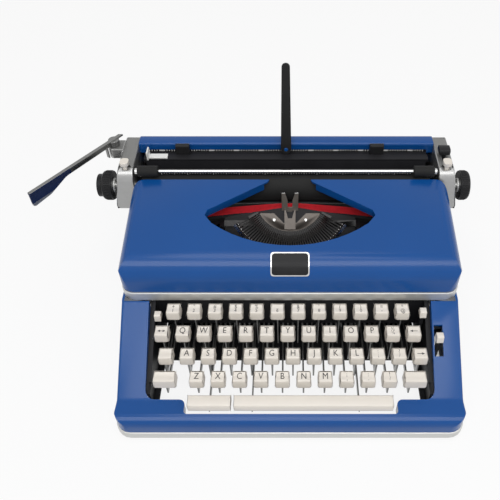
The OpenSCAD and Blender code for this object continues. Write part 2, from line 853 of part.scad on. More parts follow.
// A typebar lying towards the printing point, on its pivot
module typebar() {
    rod(-bar_t / 2, bar_t / 2, 0, 0, bar_w / 2);
    translate([-bar_t / 2, 0, -bar_w / 2]) cube([bar_t, bar_l - type_l / 2, bar_w]);
    translate([-type_w / 2, bar_l - type_l, -type_d / 2]) cube([type_w, type_l, type_d]);
}

module typebar_at_rest(i) {
    in_basket() rotate([0, 0, bar_angle(i)]) translate([0, -pivot_r, 0]) rotate([swing, 0, 0])
        typebar();
}

module typebars() {
    color(steel)
        for (i = [0:bar_count - 1])
            if (i != live_bar) typebar_at_rest(i);
}

module typebar_h() {
    color(steel) typebar_at_rest(live_bar);
}

// A half ring of z0 to z1 round the printing point
module half_ring(r0, r1, z0, z1, half) {
    translate([0, 0, z0]) rotate([0, 0, -90 - half]) rotate_extrude(angle = 2 * half)
        translate([r0, 0]) square([r1 - r0, z1 - z0]);
}

module typebar_segment() {
    end = fan_half + 4;
    ear_z = ring_low + 2;
    ear_y = -27;
    color(steel) in_basket() difference() {
        union() {
            half_ring(ring_in, ring_out, ring_low, ring_high, end);
            for (s = [-1, 1]) {
                x0 = s > 0 ? ring_in - 5 : -ear_half;
                x1 = s > 0 ? ear_half : -ring_in + 5;
                box([x0, ear_y - 3, ring_low], [x1, ear_y + 3, ear_z]);
            }
        }
        for (i = [0:bar_count - 1])
            rotate([0, 0, bar_angle(i)])
                box([-bar_t / 2 - slot_clear, -ring_out - 1, ring_low + 2],
                    [bar_t / 2 + slot_clear, -ring_in + 1, ring_high + 1]);
    }
}

// Grey half disc inside the ring with the fork that guides the type
module type_guide() {
    fork = 5.5;
    fork_top = -14;
    disc_edge = -17;
    notch_half = 17;
    notch_foot = 6.5;
    notch_d = 9.5;
    color(type_grey) in_basket() {
        difference() {
            intersection() {
                half_ring(disc_r - 16, disc_r, ring_low, ring_low + 1.8, fan_half);
                box([-far, -far, -far], [far, disc_edge, far]);
            }
            plan([[-notch_half, disc_edge + 1], [-notch_foot, disc_edge - notch_d],
                [notch_foot, disc_edge - notch_d], [notch_half, disc_edge + 1]], ring_low - 1, 0);
        }
        difference() {
            box([-fork, -disc_r + 2, ring_low], [fork, fork_top, ring_low + 2.6]);
            plan([[-2, fork_top - 8], [2, fork_top - 8], [fork - 1, fork_top + 1],
                [-fork + 1, fork_top + 1]], ring_low - 1, 0);
        }
    }
}

// The ribbon's way from spool to spool past the printing point, on the left and the right
function ribbon_way() =
    [[-spool_x, spool_y + spool_r - 1.5], [-ribbon_turn_x, ribbon_y - 5], [-vibrator_half - 2, ribbon_y],
    [vibrator_half + 2, ribbon_y], [ribbon_turn_x, ribbon_y - 5], [spool_x, spool_y + spool_r - 1.5]];

module ribbon() {
    way = ribbon_way();
    back = [for (i = [len(way) - 1:-1:0]) way[i] + [0, ribbon_t]];
    in_row_frame() color(ribbon_red)
        plan(concat(way, back), ribbon_low, ribbon_low + ribbon_w);
}

module ribbon_vibrator() {
    hook_top = ribbon_low + ribbon_w + 2;
    top = print_z + 8;
    low = ribbon_low - 14;
    in_row_frame() color(steel) difference() {
        union() {
            box([-vibrator_half, vibrator_y, low], [vibrator_half, vibrator_y + vibrator_t, top]);
            for (s = [-1, 1])
                translate([s * (vibrator_half - 1.5), 0, 0])
                    box([-1.5, vibrator_y, hook_top - 1.2], [1.5, ribbon_y + ribbon_t + 1.5, hook_top]);
        }
        front([[-2.4, low + 6], [2.4, low + 6], [2.4, top - 9], [5, top + 1], [-5, top + 1],
            [-2.4, top - 9]], vibrator_y - 1, vibrator_y + vibrator_t + 1);
    }
}

module spool(s) {
    in_row_frame() color(frame_black)
        translate([s * spool_x, spool_y, deck_z + seat]) difference() {
            cylinder(h = spool_h, r = spool_r);
            translate([0, 0, -1]) cylinder(h = spool_h + 2, r = spindle_r + running);
            translate([0, 0, spool_wall]) rotate_extrude()
                translate([spool_r - 2, 0]) square([4, spool_h - 2 * spool_wall]);
        }
}

module left_spool() { spool(-1); }
module right_spool() { spool(1); }

module carriage_bed() {
    on_carriage() color(frame_black) {
        box([-inner_half, plate_front + 10, bed_low], [inner_half, plate_rear - 4, pan_low - seat]);
        box([-inner_half, platen_y + platen_r, bed_low], [inner_half, plate_rear - 4, bed_low + bed_t]);
        box([-inner_half, plate_rear - 4 - rest_t, bed_low],
            [inner_half, plate_rear - 4, platen_z - 2]);
    }
}

// Front outline of an end plate on the side of s, made smaller by inset
function plate_face(s, inset) =
    [[s * (inner_half + inset), apron_low], [s * (plate_half + plate_flare - inset), apron_low],
    [s * (plate_half - inset), plate_top], [s * (inner_half + inset), plate_top]];

// An end plate as a hollow cap with a leaning outer wall on the side of s and an apron in front
module end_plate(s) {
    x = s * (inner_half + plate_w / 2);
    apron_y = plate_front + plate_wall;
    outline = [[plate_front, apron_low], [plate_front, plate_top], [plate_end, plate_top],
        [plate_end, plate_low], [apron_y, plate_low], [apron_y, apron_low]];
    inner = [[apron_y, -1], [apron_y, plate_top - plate_wall],
        [plate_end - plate_wall, plate_top - plate_wall], [plate_end - plate_wall, -1]];
    difference() {
        intersection() {
            side(rounded(outline, [0, 12, 6, 2, 0, 0]), -far, far);
            front(rounded(plate_face(s, 0), [0, 4, 2, 0]), 0, far);
        }
        intersection() {
            side(rounded(inner, [0, 10, 4, 0]), -far, far);
            front(plate_face(s, plate_wall), 0, far);
        }
        rod(-far, far, platen_y, platen_z, shaft_r + running);
        box([x - 2 - snug, release_y - 2.5 - snug, platen_z], [x + 2 + snug, release_y + 2.5 + snug, far]);
        children();
    }
    rod(s > 0 ? bail_arm_x - bail_arm_t / 2 - 0.5 : -inner_half - 0.5,
        s > 0 ? inner_half + 0.5 : -bail_arm_x + bail_arm_t / 2 + 0.5,
        bail_pivot_y, bail_pivot_z, bail_pin_r);
}

module left_end_plate() {
    on_carriage() color(plate_silver) {
        end_plate(-1);
        plan(rounded([[-plate_half + 1, stud_y - bracket_half], [-plate_half + 1, stud_y + bracket_half],
            [stud_x - bracket_out, stud_y + bracket_half], [stud_x - bracket_out, stud_y - bracket_half]],
            [0, 0, 5, 5]), block_top - bracket_h, block_top);
        translate([stud_x, stud_y, block_top - bracket_h / 2])
            cylinder(h = lever_top - flange_t - seat - block_top + bracket_h / 2, r = stud_r);
    }
}

module right_end_plate() {
    x = inner_half + plate_w / 2;
    on_carriage() color(plate_silver) {
        end_plate(1)
            box([x - 2, paper_release_y - 12, platen_z], [x + 2, paper_release_y + 5, far]);
        rod(inner_half + 0.5, plate_half - 0.5, paper_release_y, paper_release_z, small_pin_r);
    }
}

module platen() {
    on_carriage() color(soft_black) difference() {
        rod(-platen_l / 2, platen_l / 2, platen_y, platen_z, platen_r);
        rod(-far, far, platen_y, platen_z, shaft_r + 0.02);
    }
}

module platen_shaft() {
    on_carriage() color(steel)
        rod(-knob_x - left_knob_l + 2.5, knob_x + right_knob_l - 2.5, platen_y, platen_z, shaft_r);
}

// A knob standing on the origin along +z: collar, grip and, on the left, an end button
module knob(l, button) {
    cap = button ? end_button_l : 0;
    edge = 1.5;
    difference() {
        union() {
            cylinder(h = collar_l + 1, r = collar_r);
            translate([0, 0, collar_l]) cylinder(h = l - collar_l - edge - cap, r = knob_r);
            translate([0, 0, l - edge - cap]) cylinder(h = edge, r1 = knob_r, r2 = knob_r - edge);
            if (button) translate([0, 0, l - cap - 0.5]) cylinder(h = cap + 0.5, r = knob_r - 3);
        }
        translate([0, 0, -1]) cylinder(h = l - 1, r = shaft_r + 0.02);
    }
}

module left_knob() {
    on_carriage() color(soft_black) translate([-knob_x, platen_y, platen_z])
        rotate([0, -90, 0]) knob(left_knob_l, true);
}

module right_knob() {
    on_carriage() color(soft_black) translate([knob_x, platen_y, platen_z])
        rotate([0, 90, 0]) knob(right_knob_l, false);
}

module paper_rest() {
    on_carriage() color(casing_blue) {
        side(rounded([[rest_front, rail_low], [rest_front, rest_top], [rest_rear, rest_top],
            [rest_rear, bed_low + 3], [rest_rear - rest_t, bed_low + 3],
            [rest_rear - rest_t, rest_top - rest_t],
            [rest_front + rest_t, rest_top - rest_t], [rest_front + rest_t, rail_low]],
            [0, 2.5, 4, 0, 0, 2, 0.5, 0], 4), -inner_half, inner_half);
        translate([0, support_y, support_z]) rotate([90 - support_lean, 0, 0])
            translate([0, 0, -(rest_front - support_y) - 1])
                cylinder(h = rest_front - support_y + 1 + support_t / 2, r = support_pin_r);
    }
}

module margin_rail() {
    on_carriage() color(frame_black)
        side([[rail_front, rail_low], [rail_rear, rail_low], [rail_rear, rail_low + lip_t],
            [rail_front + rail_d, rail_low + lip_t], [rail_front + rail_d, rail_top],
            [rail_front, rail_top]], -rail_half, rail_half);
}

// Curved sheet under and behind the platen, running up to the margin rail
module paper_pan() {
    r0 = platen_r + pan_gap;
    r1 = r0 + pan_t;
    c = [platen_y, platen_z];
    half = platen_l / 2 - 1;
    on_carriage() color(frame_black)
        side(concat(arc(c, r1, -150, 30, 24), [[rail_front, rail_low + 1], [rail_front, rail_low + 2.4]],
            arc(c, r0, 32, -150, 24)), -half, half);
}

module paper_bail() {
    strip_h = 4.5;
    strip_end = bail_arm_x - bail_roller_l - 3;
    on_carriage() color(steel) {
        rod(-bail_arm_x - 1, bail_arm_x + 1, bail_y, bail_z, bail_rod_r);
        box([-strip_end, bail_y - 0.5, bail_z - strip_h], [strip_end, bail_y + 0.5, bail_z]);
        for (s = [-1, 1])
            translate([s * bail_arm_x, 0, 0]) difference() {
                union() {
                    rod(-bail_arm_t / 2, bail_arm_t / 2, bail_pivot_y, bail_pivot_z, bail_pin_r + 2.5);
                    rod(-bail_arm_t / 2, bail_arm_t / 2, bail_y, bail_z, bail_rod_r + 1.5);
                    side([[bail_pivot_y - 2, bail_pivot_z - 3.5], [bail_pivot_y + 2, bail_pivot_z + 3.5],
                        [bail_y + 1.5, bail_z + 2.2], [bail_y - 1.5, bail_z - 2.2]],
                        -bail_arm_t / 2, bail_arm_t / 2);
                }
                rod(-far, far, bail_pivot_y, bail_pivot_z, bail_pin_r + running);
                rod(-far, far, bail_y, bail_z, bail_rod_r + 2 * running);
            }
    }
}

module bail_rollers() {
    on_carriage() color(soft_black)
        for (s = [-1, 1])
            translate([s * (bail_arm_x - bail_arm_t / 2 - 0.6 - bail_roller_l / 2), 0, 0]) difference() {
                rod(-bail_roller_l / 2, bail_roller_l / 2, bail_y, bail_z, bail_roller_r);
                rod(-far, far, bail_y, bail_z, bail_rod_r + running);
            }
}

// Bent arm with a top flange, a paddle and a short leg, on the stud of the left end plate
module return_lever() {
    web = 1.6;
    heel = lever_hub_r - 2;
    on_carriage() color(steel)
        translate([stud_x, stud_y, 0]) rotate([0, 0, -lever_angle]) difference() {
            union() {
                translate([0, 0, lever_low]) cylinder(h = lever_top - flange_t / 2 - lever_low, r = lever_hub_r);
                plan(rounded([[-flange_half, 8.5], [-flange_half, -lever_l], [flange_half, -lever_l],
                    [flange_half, 11.3]], [0, 1, 1, 0], 3), lever_top - flange_t, lever_top);
                side(rounded([[-lever_l, lever_top - paddle_h], [-lever_l, lever_top - 1], [-heel, lever_top - 1],
                    [-heel, lever_low + 1], [-lever_l * 0.6, lever_low],
                    [-lever_l * 0.8, lever_top - paddle_h + 2]], [3, 0, 0, 0, 16, 16], 4), -web / 2, web / 2);
                box([-flange_half, -leg_d - leg_t / 2, lever_low - leg_h],
                    [flange_half, -leg_d + leg_t / 2, lever_low + 2]);
            }
            translate([0, 0, lever_low - 1]) cylinder(h = lever_top - flange_t - lever_low + 1, r = stud_r + running);
        }
}

module paper_support() {
    half = support_w / 2;
    tip = support_tip_w / 2;
    on_carriage() color(soft_black)
        translate([0, support_y, support_z]) rotate([90 - support_lean, 0, 0])
            translate([0, 0, -support_t / 2]) difference() {
                union() {
                    cylinder(h = support_t, r = half);
                    plan(rounded([[-half, 0], [half, 0], [tip, support_l], [-tip, support_l]],
                        [0, 0, tip - 0.2, tip - 0.2], 6), 0, support_t);
                }
                translate([0, 0, -1]) cylinder(h = support_t + 2, r = support_pin_r + running);
            }
}

module margin_stop(x) {
    y0 = rail_front + rail_d + 1;
    on_carriage() color(soft_black)
        side(rounded([[y0, rail_low + lip_t + running], [rail_rear - 0.8, rail_low + lip_t + running],
            [rail_rear - 0.8, rest_top + 1], [y0 + 1.5, rest_top + 1]], [0, 0, 1, 2], 3),
            x - stop_w / 2, x + stop_w / 2);
}

module margin_stop_left() { margin_stop(-stop_x - 5); }
module margin_stop_right() { margin_stop(stop_x - 8); }

module paper_guide() {
    x = -rail_half + 4;
    low = rail_top + running;
    on_carriage() color(plate_silver) {
        box([x, rail_front + 0.5, low], [x + 20, rail_front + rail_d - 0.5, low + 1.4]);
        box([x, rail_front - 2, low], [x + 1.5, rail_front + rail_d + 0.5, low + 9]);
    }
}

module carriage_release(x) {
    top = plate_top + button_travel + seat;
    on_carriage() {
        color(key_cream) plan(round_rect(x - 4.2, x + 4.2, release_y - 4.8, release_y + 4.8, 3, 4), top, top + 4);
        color(key_cream) box([x - 2, release_y - 2.5, plate_top - 13], [x + 2, release_y + 2.5, top + 1]);
    }
}

module carriage_release_left() { carriage_release(-inner_half - plate_w / 2); }
module carriage_release_right() { carriage_release(inner_half + plate_w / 2); }

module paper_release_lever() {
    x = inner_half + plate_w / 2;
    t = 3;
    cap_low = plate_top + 3;
    top = plate_top + 9;
    on_carriage() color(soft_black) difference() {
        union() {
            rod(x - t / 2, x + t / 2, paper_release_y, paper_release_z, small_pin_r + 2.5);
            box([x - t / 2, paper_release_y - 3.5, paper_release_z],
                [x + t / 2, paper_release_y + 3.5, cap_low + 1]);
            side(rounded([[paper_release_y - 5, cap_low], [paper_release_y - 6, top],
                [paper_release_y + 6, top], [paper_release_y + 5, cap_low]], [0, 3, 3, 0], 3),
                x - 5.5, x + 5.5);
        }
        rod(x - t, x + t, paper_release_y, paper_release_z, small_pin_r + running);
    }
}

lower_casing();
base_trim();
cover_trim();
main_frame();
rubber_feet();
carriage_rails();
mainspring_drum();
ribbon_cover();
typebar_segment();
type_guide();
typebars();
typebar_h();
ribbon();
ribbon_vibrator();
left_spool();
right_spool();
carriage_bed();
left_end_plate();
right_end_plate();
paper_rest();
margin_rail();
paper_pan();
platen();
platen_shaft();
left_knob();
right_knob();
paper_bail();
bail_rollers();
return_lever();
paper_support();
margin_stop_left();
margin_stop_right();
paper_guide();
carriage_release_left();
carriage_release_right();
paper_release_lever();
space_bar();
repeat_space_key();
shift_keys();
shift_lock_key();
margin_release_key();
backspace_key();
tab_key();
ribbon_reverse_lever();
colour_selector();
touch_control();
number_row_keys();
upper_row_keys();
lower_row_keys();
key_a();
key_s();
key_d_letter();
key_f();
key_g();
key_h_letter();
key_j();
key_k();
key_l();
key_semicolon();
key_question();
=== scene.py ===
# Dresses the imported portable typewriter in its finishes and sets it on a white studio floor.
import json
import math

import bmesh
import bpy
from mathutils import Matrix, Vector
from mathutils.bvhtree import BVHTree


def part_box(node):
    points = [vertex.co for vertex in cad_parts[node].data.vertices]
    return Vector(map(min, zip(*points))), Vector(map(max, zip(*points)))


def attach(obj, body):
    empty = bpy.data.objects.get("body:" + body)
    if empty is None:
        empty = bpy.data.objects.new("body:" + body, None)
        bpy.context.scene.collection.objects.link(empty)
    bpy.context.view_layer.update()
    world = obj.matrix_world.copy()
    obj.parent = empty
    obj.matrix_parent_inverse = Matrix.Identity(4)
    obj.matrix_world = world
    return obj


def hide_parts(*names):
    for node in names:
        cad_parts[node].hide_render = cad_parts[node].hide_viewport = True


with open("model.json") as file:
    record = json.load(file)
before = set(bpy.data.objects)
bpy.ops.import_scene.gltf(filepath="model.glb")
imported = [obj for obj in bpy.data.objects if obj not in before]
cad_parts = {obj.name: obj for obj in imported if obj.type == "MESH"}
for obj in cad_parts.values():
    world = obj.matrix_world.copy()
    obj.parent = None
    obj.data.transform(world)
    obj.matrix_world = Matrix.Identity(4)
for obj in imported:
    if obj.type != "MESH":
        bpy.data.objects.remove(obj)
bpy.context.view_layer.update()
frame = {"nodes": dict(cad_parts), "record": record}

bl_info = {
    "name": "Portable typewriter",
    "version": (1, 0, 0),
    "blender": (4, 5, 0),
    "location": "View3D > Sidebar > Typewriter",
    "description": "Dresses a portable manual typewriter in paint, metal, rubber and cream plastic",
    "category": "Object",
}

MM = 0.001
TINY = 0.001 * MM
SHARP = math.radians(35)
SIGN_STRETCH = 1.25
NEIGHBOUR_SHARE = 0.45
MERGE_GAP = 0.002 * MM
FLAT_ANGLE = math.radians(0.4)
RAY_HEIGHT = 20 * MM
KEY_TOP_BAND = 1 * MM
RELIEF_DEPTH = 0.1 * MM
ARROW_HALF = 3.1 * MM
ARROW_LINE = 0.25 * MM
ARROW_HEAD = 2 * MM
ARROW_TIP = 0.6 * MM
ARROW_SPREAD = 1.2 * MM
LETTER_SHIFT = 0.2 * MM
UPPER_SHIFT = 2.0 * MM
LOWER_SHIFT = -2.2 * MM
UP = Vector((0, 0, 1))
DULL = {"Specular IOR Level": 0.15}
NODE_BODY = {
    node: body
    for body, nodes in frame["record"]["behaviour"]["bodies"].items()
    for node in nodes
}

# Legends of the keys, from left to right: the sign above and the sign below
NUMBER_ROW = [
    ("+", "1"), ('"', "2"), ("#", "3"), ("$", "4"), ("%", "5"), ("_", "6"),
    ("&", "7"), ("'", "8"), ("(", "9"), (")", "0"), ("=", "-"), ("*", "@"),
]
UPPER_ROW = [("", letter) for letter in "QWERTYUIOP"] + [("½", "¼")]
LOWER_ROW = [("", letter) for letter in "ZXCVBNM"] + [(";", ","), (":", "."), ("!", "/")]
HOME_ROW = {
    "key_a": ("", "A"), "key_s": ("", "S"), "key_d_letter": ("", "D"), "key_f": ("", "F"),
    "key_g": ("", "G"), "key_h_letter": ("", "H"), "key_j": ("", "J"), "key_k": ("", "K"),
    "key_l": ("", "L"), "key_semicolon": (":", ";"), "key_question": ("?", "/"),
}
BARE_KEYS = ["space_bar", "repeat_space_key", "shift_keys", "shift_lock_key"]


def colour_property(name, description, default):
    """A colour that the user can change, with no alpha."""
    return bpy.props.FloatVectorProperty(
        name=name, description=description, default=default, subtype="COLOR", size=3, min=0, max=1
    )


def length_property(name, description, default):
    """A length in metres that the user can change."""
    return bpy.props.FloatProperty(
        name=name, description=description, default=default, unit="LENGTH", min=0
    )


class TypewriterColours(bpy.types.PropertyGroup):
    """Base colours of the typewriter's finishes."""

    casing: colour_property("Casing", "Blue paint of the casing and cover", (0.004, 0.072, 0.285))
    trim: colour_property("Trim", "Base trim and the band under the cover", (0.60, 0.60, 0.585))
    plate: colour_property("End plates", "Front of the carriage's ends", (0.40, 0.40, 0.395))
    # Painted shade: the end plates' flat tops get this grey, darker than their fronts; the return
    # lever's arm uses it as its own grey.
    plate_top: colour_property("Plate tops", "Top of the carriage's ends", (0.21, 0.21, 0.205))
    steel: colour_property("Steel", "Key levers, rods and the bail", (0.62, 0.62, 0.61))
    black: colour_property("Black metal", "Frame, rail and pan", (0.014, 0.014, 0.016))
    rubber: colour_property("Rubber", "Platen, rollers and feet", (0.018, 0.018, 0.018))
    plastic: colour_property("Black plastic", "Knobs, stops and the support", (0.016, 0.016, 0.017))
    key: colour_property("Keys", "Cream key tops", (0.80, 0.745, 0.67))
    ink: colour_property("Legends", "Signs on the keys", (0.03, 0.028, 0.028))
    ribbon: colour_property("Ribbon", "Red part of the inked cloth ribbon", (0.80, 0.006, 0.02))
    guide: colour_property("Type guide", "Half disc in front of the type", (0.115, 0.10, 0.088))
    # Painted light: the plate that lifts the ribbon and the guide's upright get the guide's grey-brown
    # made lighter, standing in for light on their upright faces, which the lamps leave in shade.
    vibrator: colour_property("Vibrator", "Plate that lifts the ribbon", (0.30, 0.27, 0.24))
    bar: colour_property("Typebars", "Blackened bars and their segment", (0.022, 0.021, 0.021))
    mark: colour_property("Marks", "White marks of the scales", (0.82, 0.82, 0.80))
    paddle: colour_property("Paddle", "Painted face of the return lever", (0.012, 0.022, 0.07))


class TypewriterSizes(bpy.types.PropertyGroup):
    """Sizes of the details that are added to the solids."""

    wing_round: length_property("Wing rounding", "Radius of the casing's outer edges", 2.2 * MM)
    paint_round: length_property("Sheet rounding", "Radius of the painted sheets' edges", 0.7 * MM)
    metal_round: length_property("Metal rounding", "Radius of the metal edges", 0.35 * MM)
    key_round: length_property("Key rounding", "Radius of the keys' edges", 1.2 * MM)
    letter: length_property("Letter size", "Height of the font on the letter keys", 7.0 * MM)
    figure: length_property("Figure size", "Height of the font where a key has two signs", 4.4 * MM)
    ink_depth: length_property("Ink", "How far the signs stand proud of the key", 0.06 * MM)
    badge_width: length_property("Badge width", "Width of the bare badge", 35 * MM)
    badge_depth: length_property("Badge depth", "Height of the bare badge along the cover", 22 * MM)
    typing_step: length_property("Typing step", "Distance between two marks of a scale", 2.54 * MM)


class Wire:
    """A node's output that Python's operators can calculate with."""

    def __init__(self, finish, socket):
        self.finish = finish
        self.socket = socket

    def maths(self, operation, first, second):
        return self.finish.add("ShaderNodeMath", {"operation": operation}, {0: first, 1: second})

    def __add__(self, other):
        return self.maths("ADD", self, other)

    def __radd__(self, other):
        return self.maths("ADD", other, self)

    def __sub__(self, other):
        return self.maths("SUBTRACT", self, other)

    def __rsub__(self, other):
        return self.maths("SUBTRACT", other, self)

    def __mul__(self, other):
        return self.maths("MULTIPLY", self, other)

    def __rmul__(self, other):
        return self.maths("MULTIPLY", other, self)


class Finish:
    """One material: its shader and the nodes that feed it."""

    def __init__(self, name, uniform=None):
        self.material = bpy.data.materials.new(name)
        self.material.use_nodes = True
        self.tree = self.material.node_tree
        self.shader = self.tree.nodes["Principled BSDF"]
        for socket, value in (uniform or {}).items():
            self.shader.inputs[socket].default_value = value

    def join(self, value, socket):
        """Links a wire to a socket, or sets a plain value on it."""
        if isinstance(value, Wire):
            self.tree.links.new(value.socket, socket)
        else:
            socket.default_value = value

    def add(self, kind, settings=None, values=None, output=0):
        """Adds a node of any kind, with its settings first and then its sockets."""
        node = self.tree.nodes.new(kind)
        for name, value in (settings or {}).items():
            setattr(node, name, value)
        for key, value in (values or {}).items():
            self.join(value, node.inputs[key])
        return Wire(self, node.outputs[output])

    def feed(self, socket, value):
        self.join(value, self.shader.inputs[socket])

    def grain(self, scale, stretch=(1, 1, 1), detail=3.0):
        """Noise over the piece, drawn out along an axis by a small stretch there."""
        place = self.add("ShaderNodeTexCoord", output="Object")
        place = self.add("ShaderNodeMapping", values={"Vector": place, "Scale": stretch})
        values = {"Vector": place, "Scale": scale, "Detail": detail}
        return self.add("ShaderNodeTexNoise", values=values, output="Fac")

    def between(self, share, first, second):
        """A colour between two others."""
        return self.add("ShaderNodeMix", {"data_type": "RGBA"}, {0: share, 6: first, 7: second}, 2)

    def relief(self, height, strength, distance=RELIEF_DEPTH):
        values = {"Height": height, "Strength": strength, "Distance": distance}
        self.feed("Normal", self.add("ShaderNodeBump", values=values))


def shade(colour, factor):
    """A colour made lighter or darker, with full alpha."""
    return tuple(min(1.0, channel * factor) for channel in colour) + (1.0,)


def clouded(name, colour, spread, scale, rough, rough_spread, uniform=None, stretch=(1, 1, 1)):
    """A finish whose colour and gloss drift a little over the surface."""
    finish = Finish(name, uniform)
    cloud = finish.grain(scale, stretch)
    dark, light = shade(colour, 1 - spread), shade(colour, 1 + spread)
    finish.feed("Base Color", finish.between(cloud, dark, light))
    finish.feed("Roughness", cloud * (2 * rough_spread) + (rough - rough_spread))
    return finish


def blue_paint(colours):
    gloss = {"Specular IOR Level": 0.25, "Coat Weight": 0.08, "Coat Roughness": 0.12}
    finish = clouded("blue enamel", colours.casing, 0.08, 14, 0.24, 0.04, gloss)
    finish.relief(finish.grain(420, detail=2.0), 0.05, 2 * RELIEF_DEPTH)
    return finish


def brushed(name, colour, rough, stretch, metallic):
    finish = clouded(name, colour, 0.10, 60, rough, 0.08, {"Metallic": metallic}, stretch)
    finish.relief(finish.grain(300, stretch), 0.08)
    return finish


def brushed_kind(kind):
    """A function that makes one of the brushed finishes from the colours."""
    name, colour, rough, stretch, metallic = BRUSHED[kind]
    return lambda colours: brushed(name, getattr(colours, colour), rough, stretch, metallic)


# Name, colour, roughness, stretch of the grain and share of metal
BRUSHED = {
    "trim": ("satin trim", "trim", 0.42, (0.15, 3, 3), 0.75),
    "plate": ("satin end plate", "plate", 0.34, (3, 0.3, 3), 0.8),
    # Painted shade: a darker copy of the end plate finish for the plates' flat tops.
    "plate_top": ("dull plate top", "plate_top", 0.42, (3, 0.3, 3), 0.6),
    "steel": ("bright steel", "steel", 0.24, (4, 0.4, 4), 1.0),
    "rod": ("bright rod", "steel", 0.18, (0.2, 5, 5), 1.0),
    "bar": ("blackened bar", "bar", 0.34, (3, 3, 0.4), 0.6),
    "lever": ("grey lever", "plate_top", 0.30, (0.4, 3, 3), 0.9),
}
trim_metal = brushed_kind("trim")
plate_metal = brushed_kind("plate")
shaded_plate_top_metal = brushed_kind("plate_top")
bright_steel = brushed_kind("steel")
rod_steel = brushed_kind("rod")
bar_steel = brushed_kind("bar")
lever_steel = brushed_kind("lever")


def black_metal(colours):
    finish = clouded("black metal", colours.black, 0.35, 40, 0.46, 0.10, DULL)
    finish.relief(finish.grain(900), 0.10)
    return finish


def rubber(colours):
    finish = clouded("black rubber", colours.rubber, 0.30, 55, 0.66, 0.10, DULL)
    finish.relief(finish.grain(1500, detail=5.0), 0.18)
    return finish


def black_plastic(colours):
    finish = clouded("black plastic", colours.plastic, 0.30, 70, 0.36, 0.08, DULL)
    finish.relief(finish.grain(1100), 0.08)
    return finish


def key_plastic(colours):
    gloss = {"Coat Weight": 0.15, "Coat Roughness": 0.2}
    finish = clouded("cream key", colours.key, 0.045, 45, 0.34, 0.05, gloss)
    finish.relief(finish.grain(800), 0.04)
    return finish


def key_ink(colours):
    return clouded("key ink", colours.ink, 0.25, 600, 0.5, 0.08)


def white_mark(colours):
    return clouded("scale white", colours.mark, 0.05, 300, 0.5, 0.05)


def guide_metal(name, colour):
    finish = clouded(name, colour, 0.25, 120, 0.42, 0.10, {"Metallic": 0.5})
    finish.relief(finish.grain(700), 0.12)
    return finish


def paddle_paint(colours):
    return clouded("navy paddle", colours.paddle, 0.20, 60, 0.36, 0.08, DULL)


def ribbon_cloth(colours, middle):
    """Inked cloth with fine threads, red above a height and black below it."""
    finish = Finish("inked ribbon", {"Sheen Weight": 0.2})
    place = finish.add("ShaderNodeTexCoord", output="Object")
    height = finish.add("ShaderNodeSeparateXYZ", values={0: place}, output="Z")
    upper = height.maths("GREATER_THAN", height, middle)
    cloud = finish.grain(200)
    red = finish.between(cloud, shade(colours.ribbon, 0.75), shade(colours.ribbon, 1.25))
    black = finish.between(cloud, shade(colours.black, 0.7), shade(colours.black, 1.3))
    finish.feed("Base Color", finish.between(upper, black, red))
    finish.feed("Roughness", cloud * 0.16 + 0.64)
    threads = {"Vector": place, "Scale": 900}
    along = finish.add("ShaderNodeTexWave", {"bands_direction": "X"}, threads, "Fac")
    across = finish.add("ShaderNodeTexWave", {"bands_direction": "Z"}, threads, "Fac")
    finish.relief(along * across, 0.35)
    return finish


def merged(node):
    """A copy of a node's solid with its triangles joined into plain faces."""
    shape = bmesh.new()
    shape.from_mesh(frame["nodes"][node].data)
    bmesh.ops.remove_doubles(shape, verts=shape.verts, dist=MERGE_GAP)
    bmesh.ops.dissolve_limit(shape, angle_limit=FLAT_ANGLE, verts=shape.verts, edges=shape.edges)
    return shape


def islands(shape):
    """The faces of each separate solid of a shape, from left to right."""
    left = set(shape.faces)
    groups = []
    while left:
        group = []
        edge_of = [left.pop()]
        while edge_of:
            face = edge_of.pop()
            group.append(face)
            near = {n for e in face.edges for n in e.link_faces if n in left}
            left -= near
            edge_of.extend(near)
        groups.append(group)
    return sorted(groups, key=lambda group: extent(group)[0].x)


def extent(faces):
    """Lowest and highest corner of some faces."""
    points = [v.co for f in faces for v in f.verts]
    low = Vector(tuple(min(p[i] for p in points) for i in range(3)))
    high = Vector(tuple(max(p[i] for p in points) for i in range(3)))
    return low, high


def place_piece(name, shape, body, finishes):
    """Makes a shape an object that rides on a body, smooth up to its sharp edges."""
    mesh = bpy.data.meshes.new(name)
    shape.to_mesh(mesh)
    shape.free()
    for finish in finishes:
        mesh.materials.append(finish.material)
    mesh.shade_smooth()
    mesh.set_sharp_from_angle(angle=SHARP)
    piece = bpy.data.objects.new(name, mesh)
    bpy.context.scene.collection.objects.link(piece)
    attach(piece, body)
    return piece


def edge_room(edge):
    """The widest rounding that the neighbours of an edge leave room for."""
    start, end = (vert.co for vert in edge.verts)
    length = edge.calc_length()
    along = (end - start) / length
    room = math.inf
    for face in edge.link_faces:
        for vert in face.verts:
            offset = vert.co - start
            reach = offset.dot(along)
            across = (offset - reach * along).length
            if across > TINY and -TINY < reach < length + TINY:
                room = min(room, across * NEIGHBOUR_SHARE)
    for vert in edge.verts:
        for other in vert.link_edges:
            step = other.other_vert(vert).co - vert.co
            if (step - step.dot(along) * along).length > step.length / 3:
                room = min(room, step.length * NEIGHBOUR_SHARE)
    return room


def soften(shape, width):
    """Weighs the sharp edges of a shape for rounding, less where there is little room."""
    weight = shape.edges.layers.float.new("bevel_weight_edge")
    for edge in shape.edges:
        if len(edge.link_faces) == 2 and edge.calc_face_angle(0) > SHARP:
            edge[weight] = min(1.0, edge_room(edge) / width)


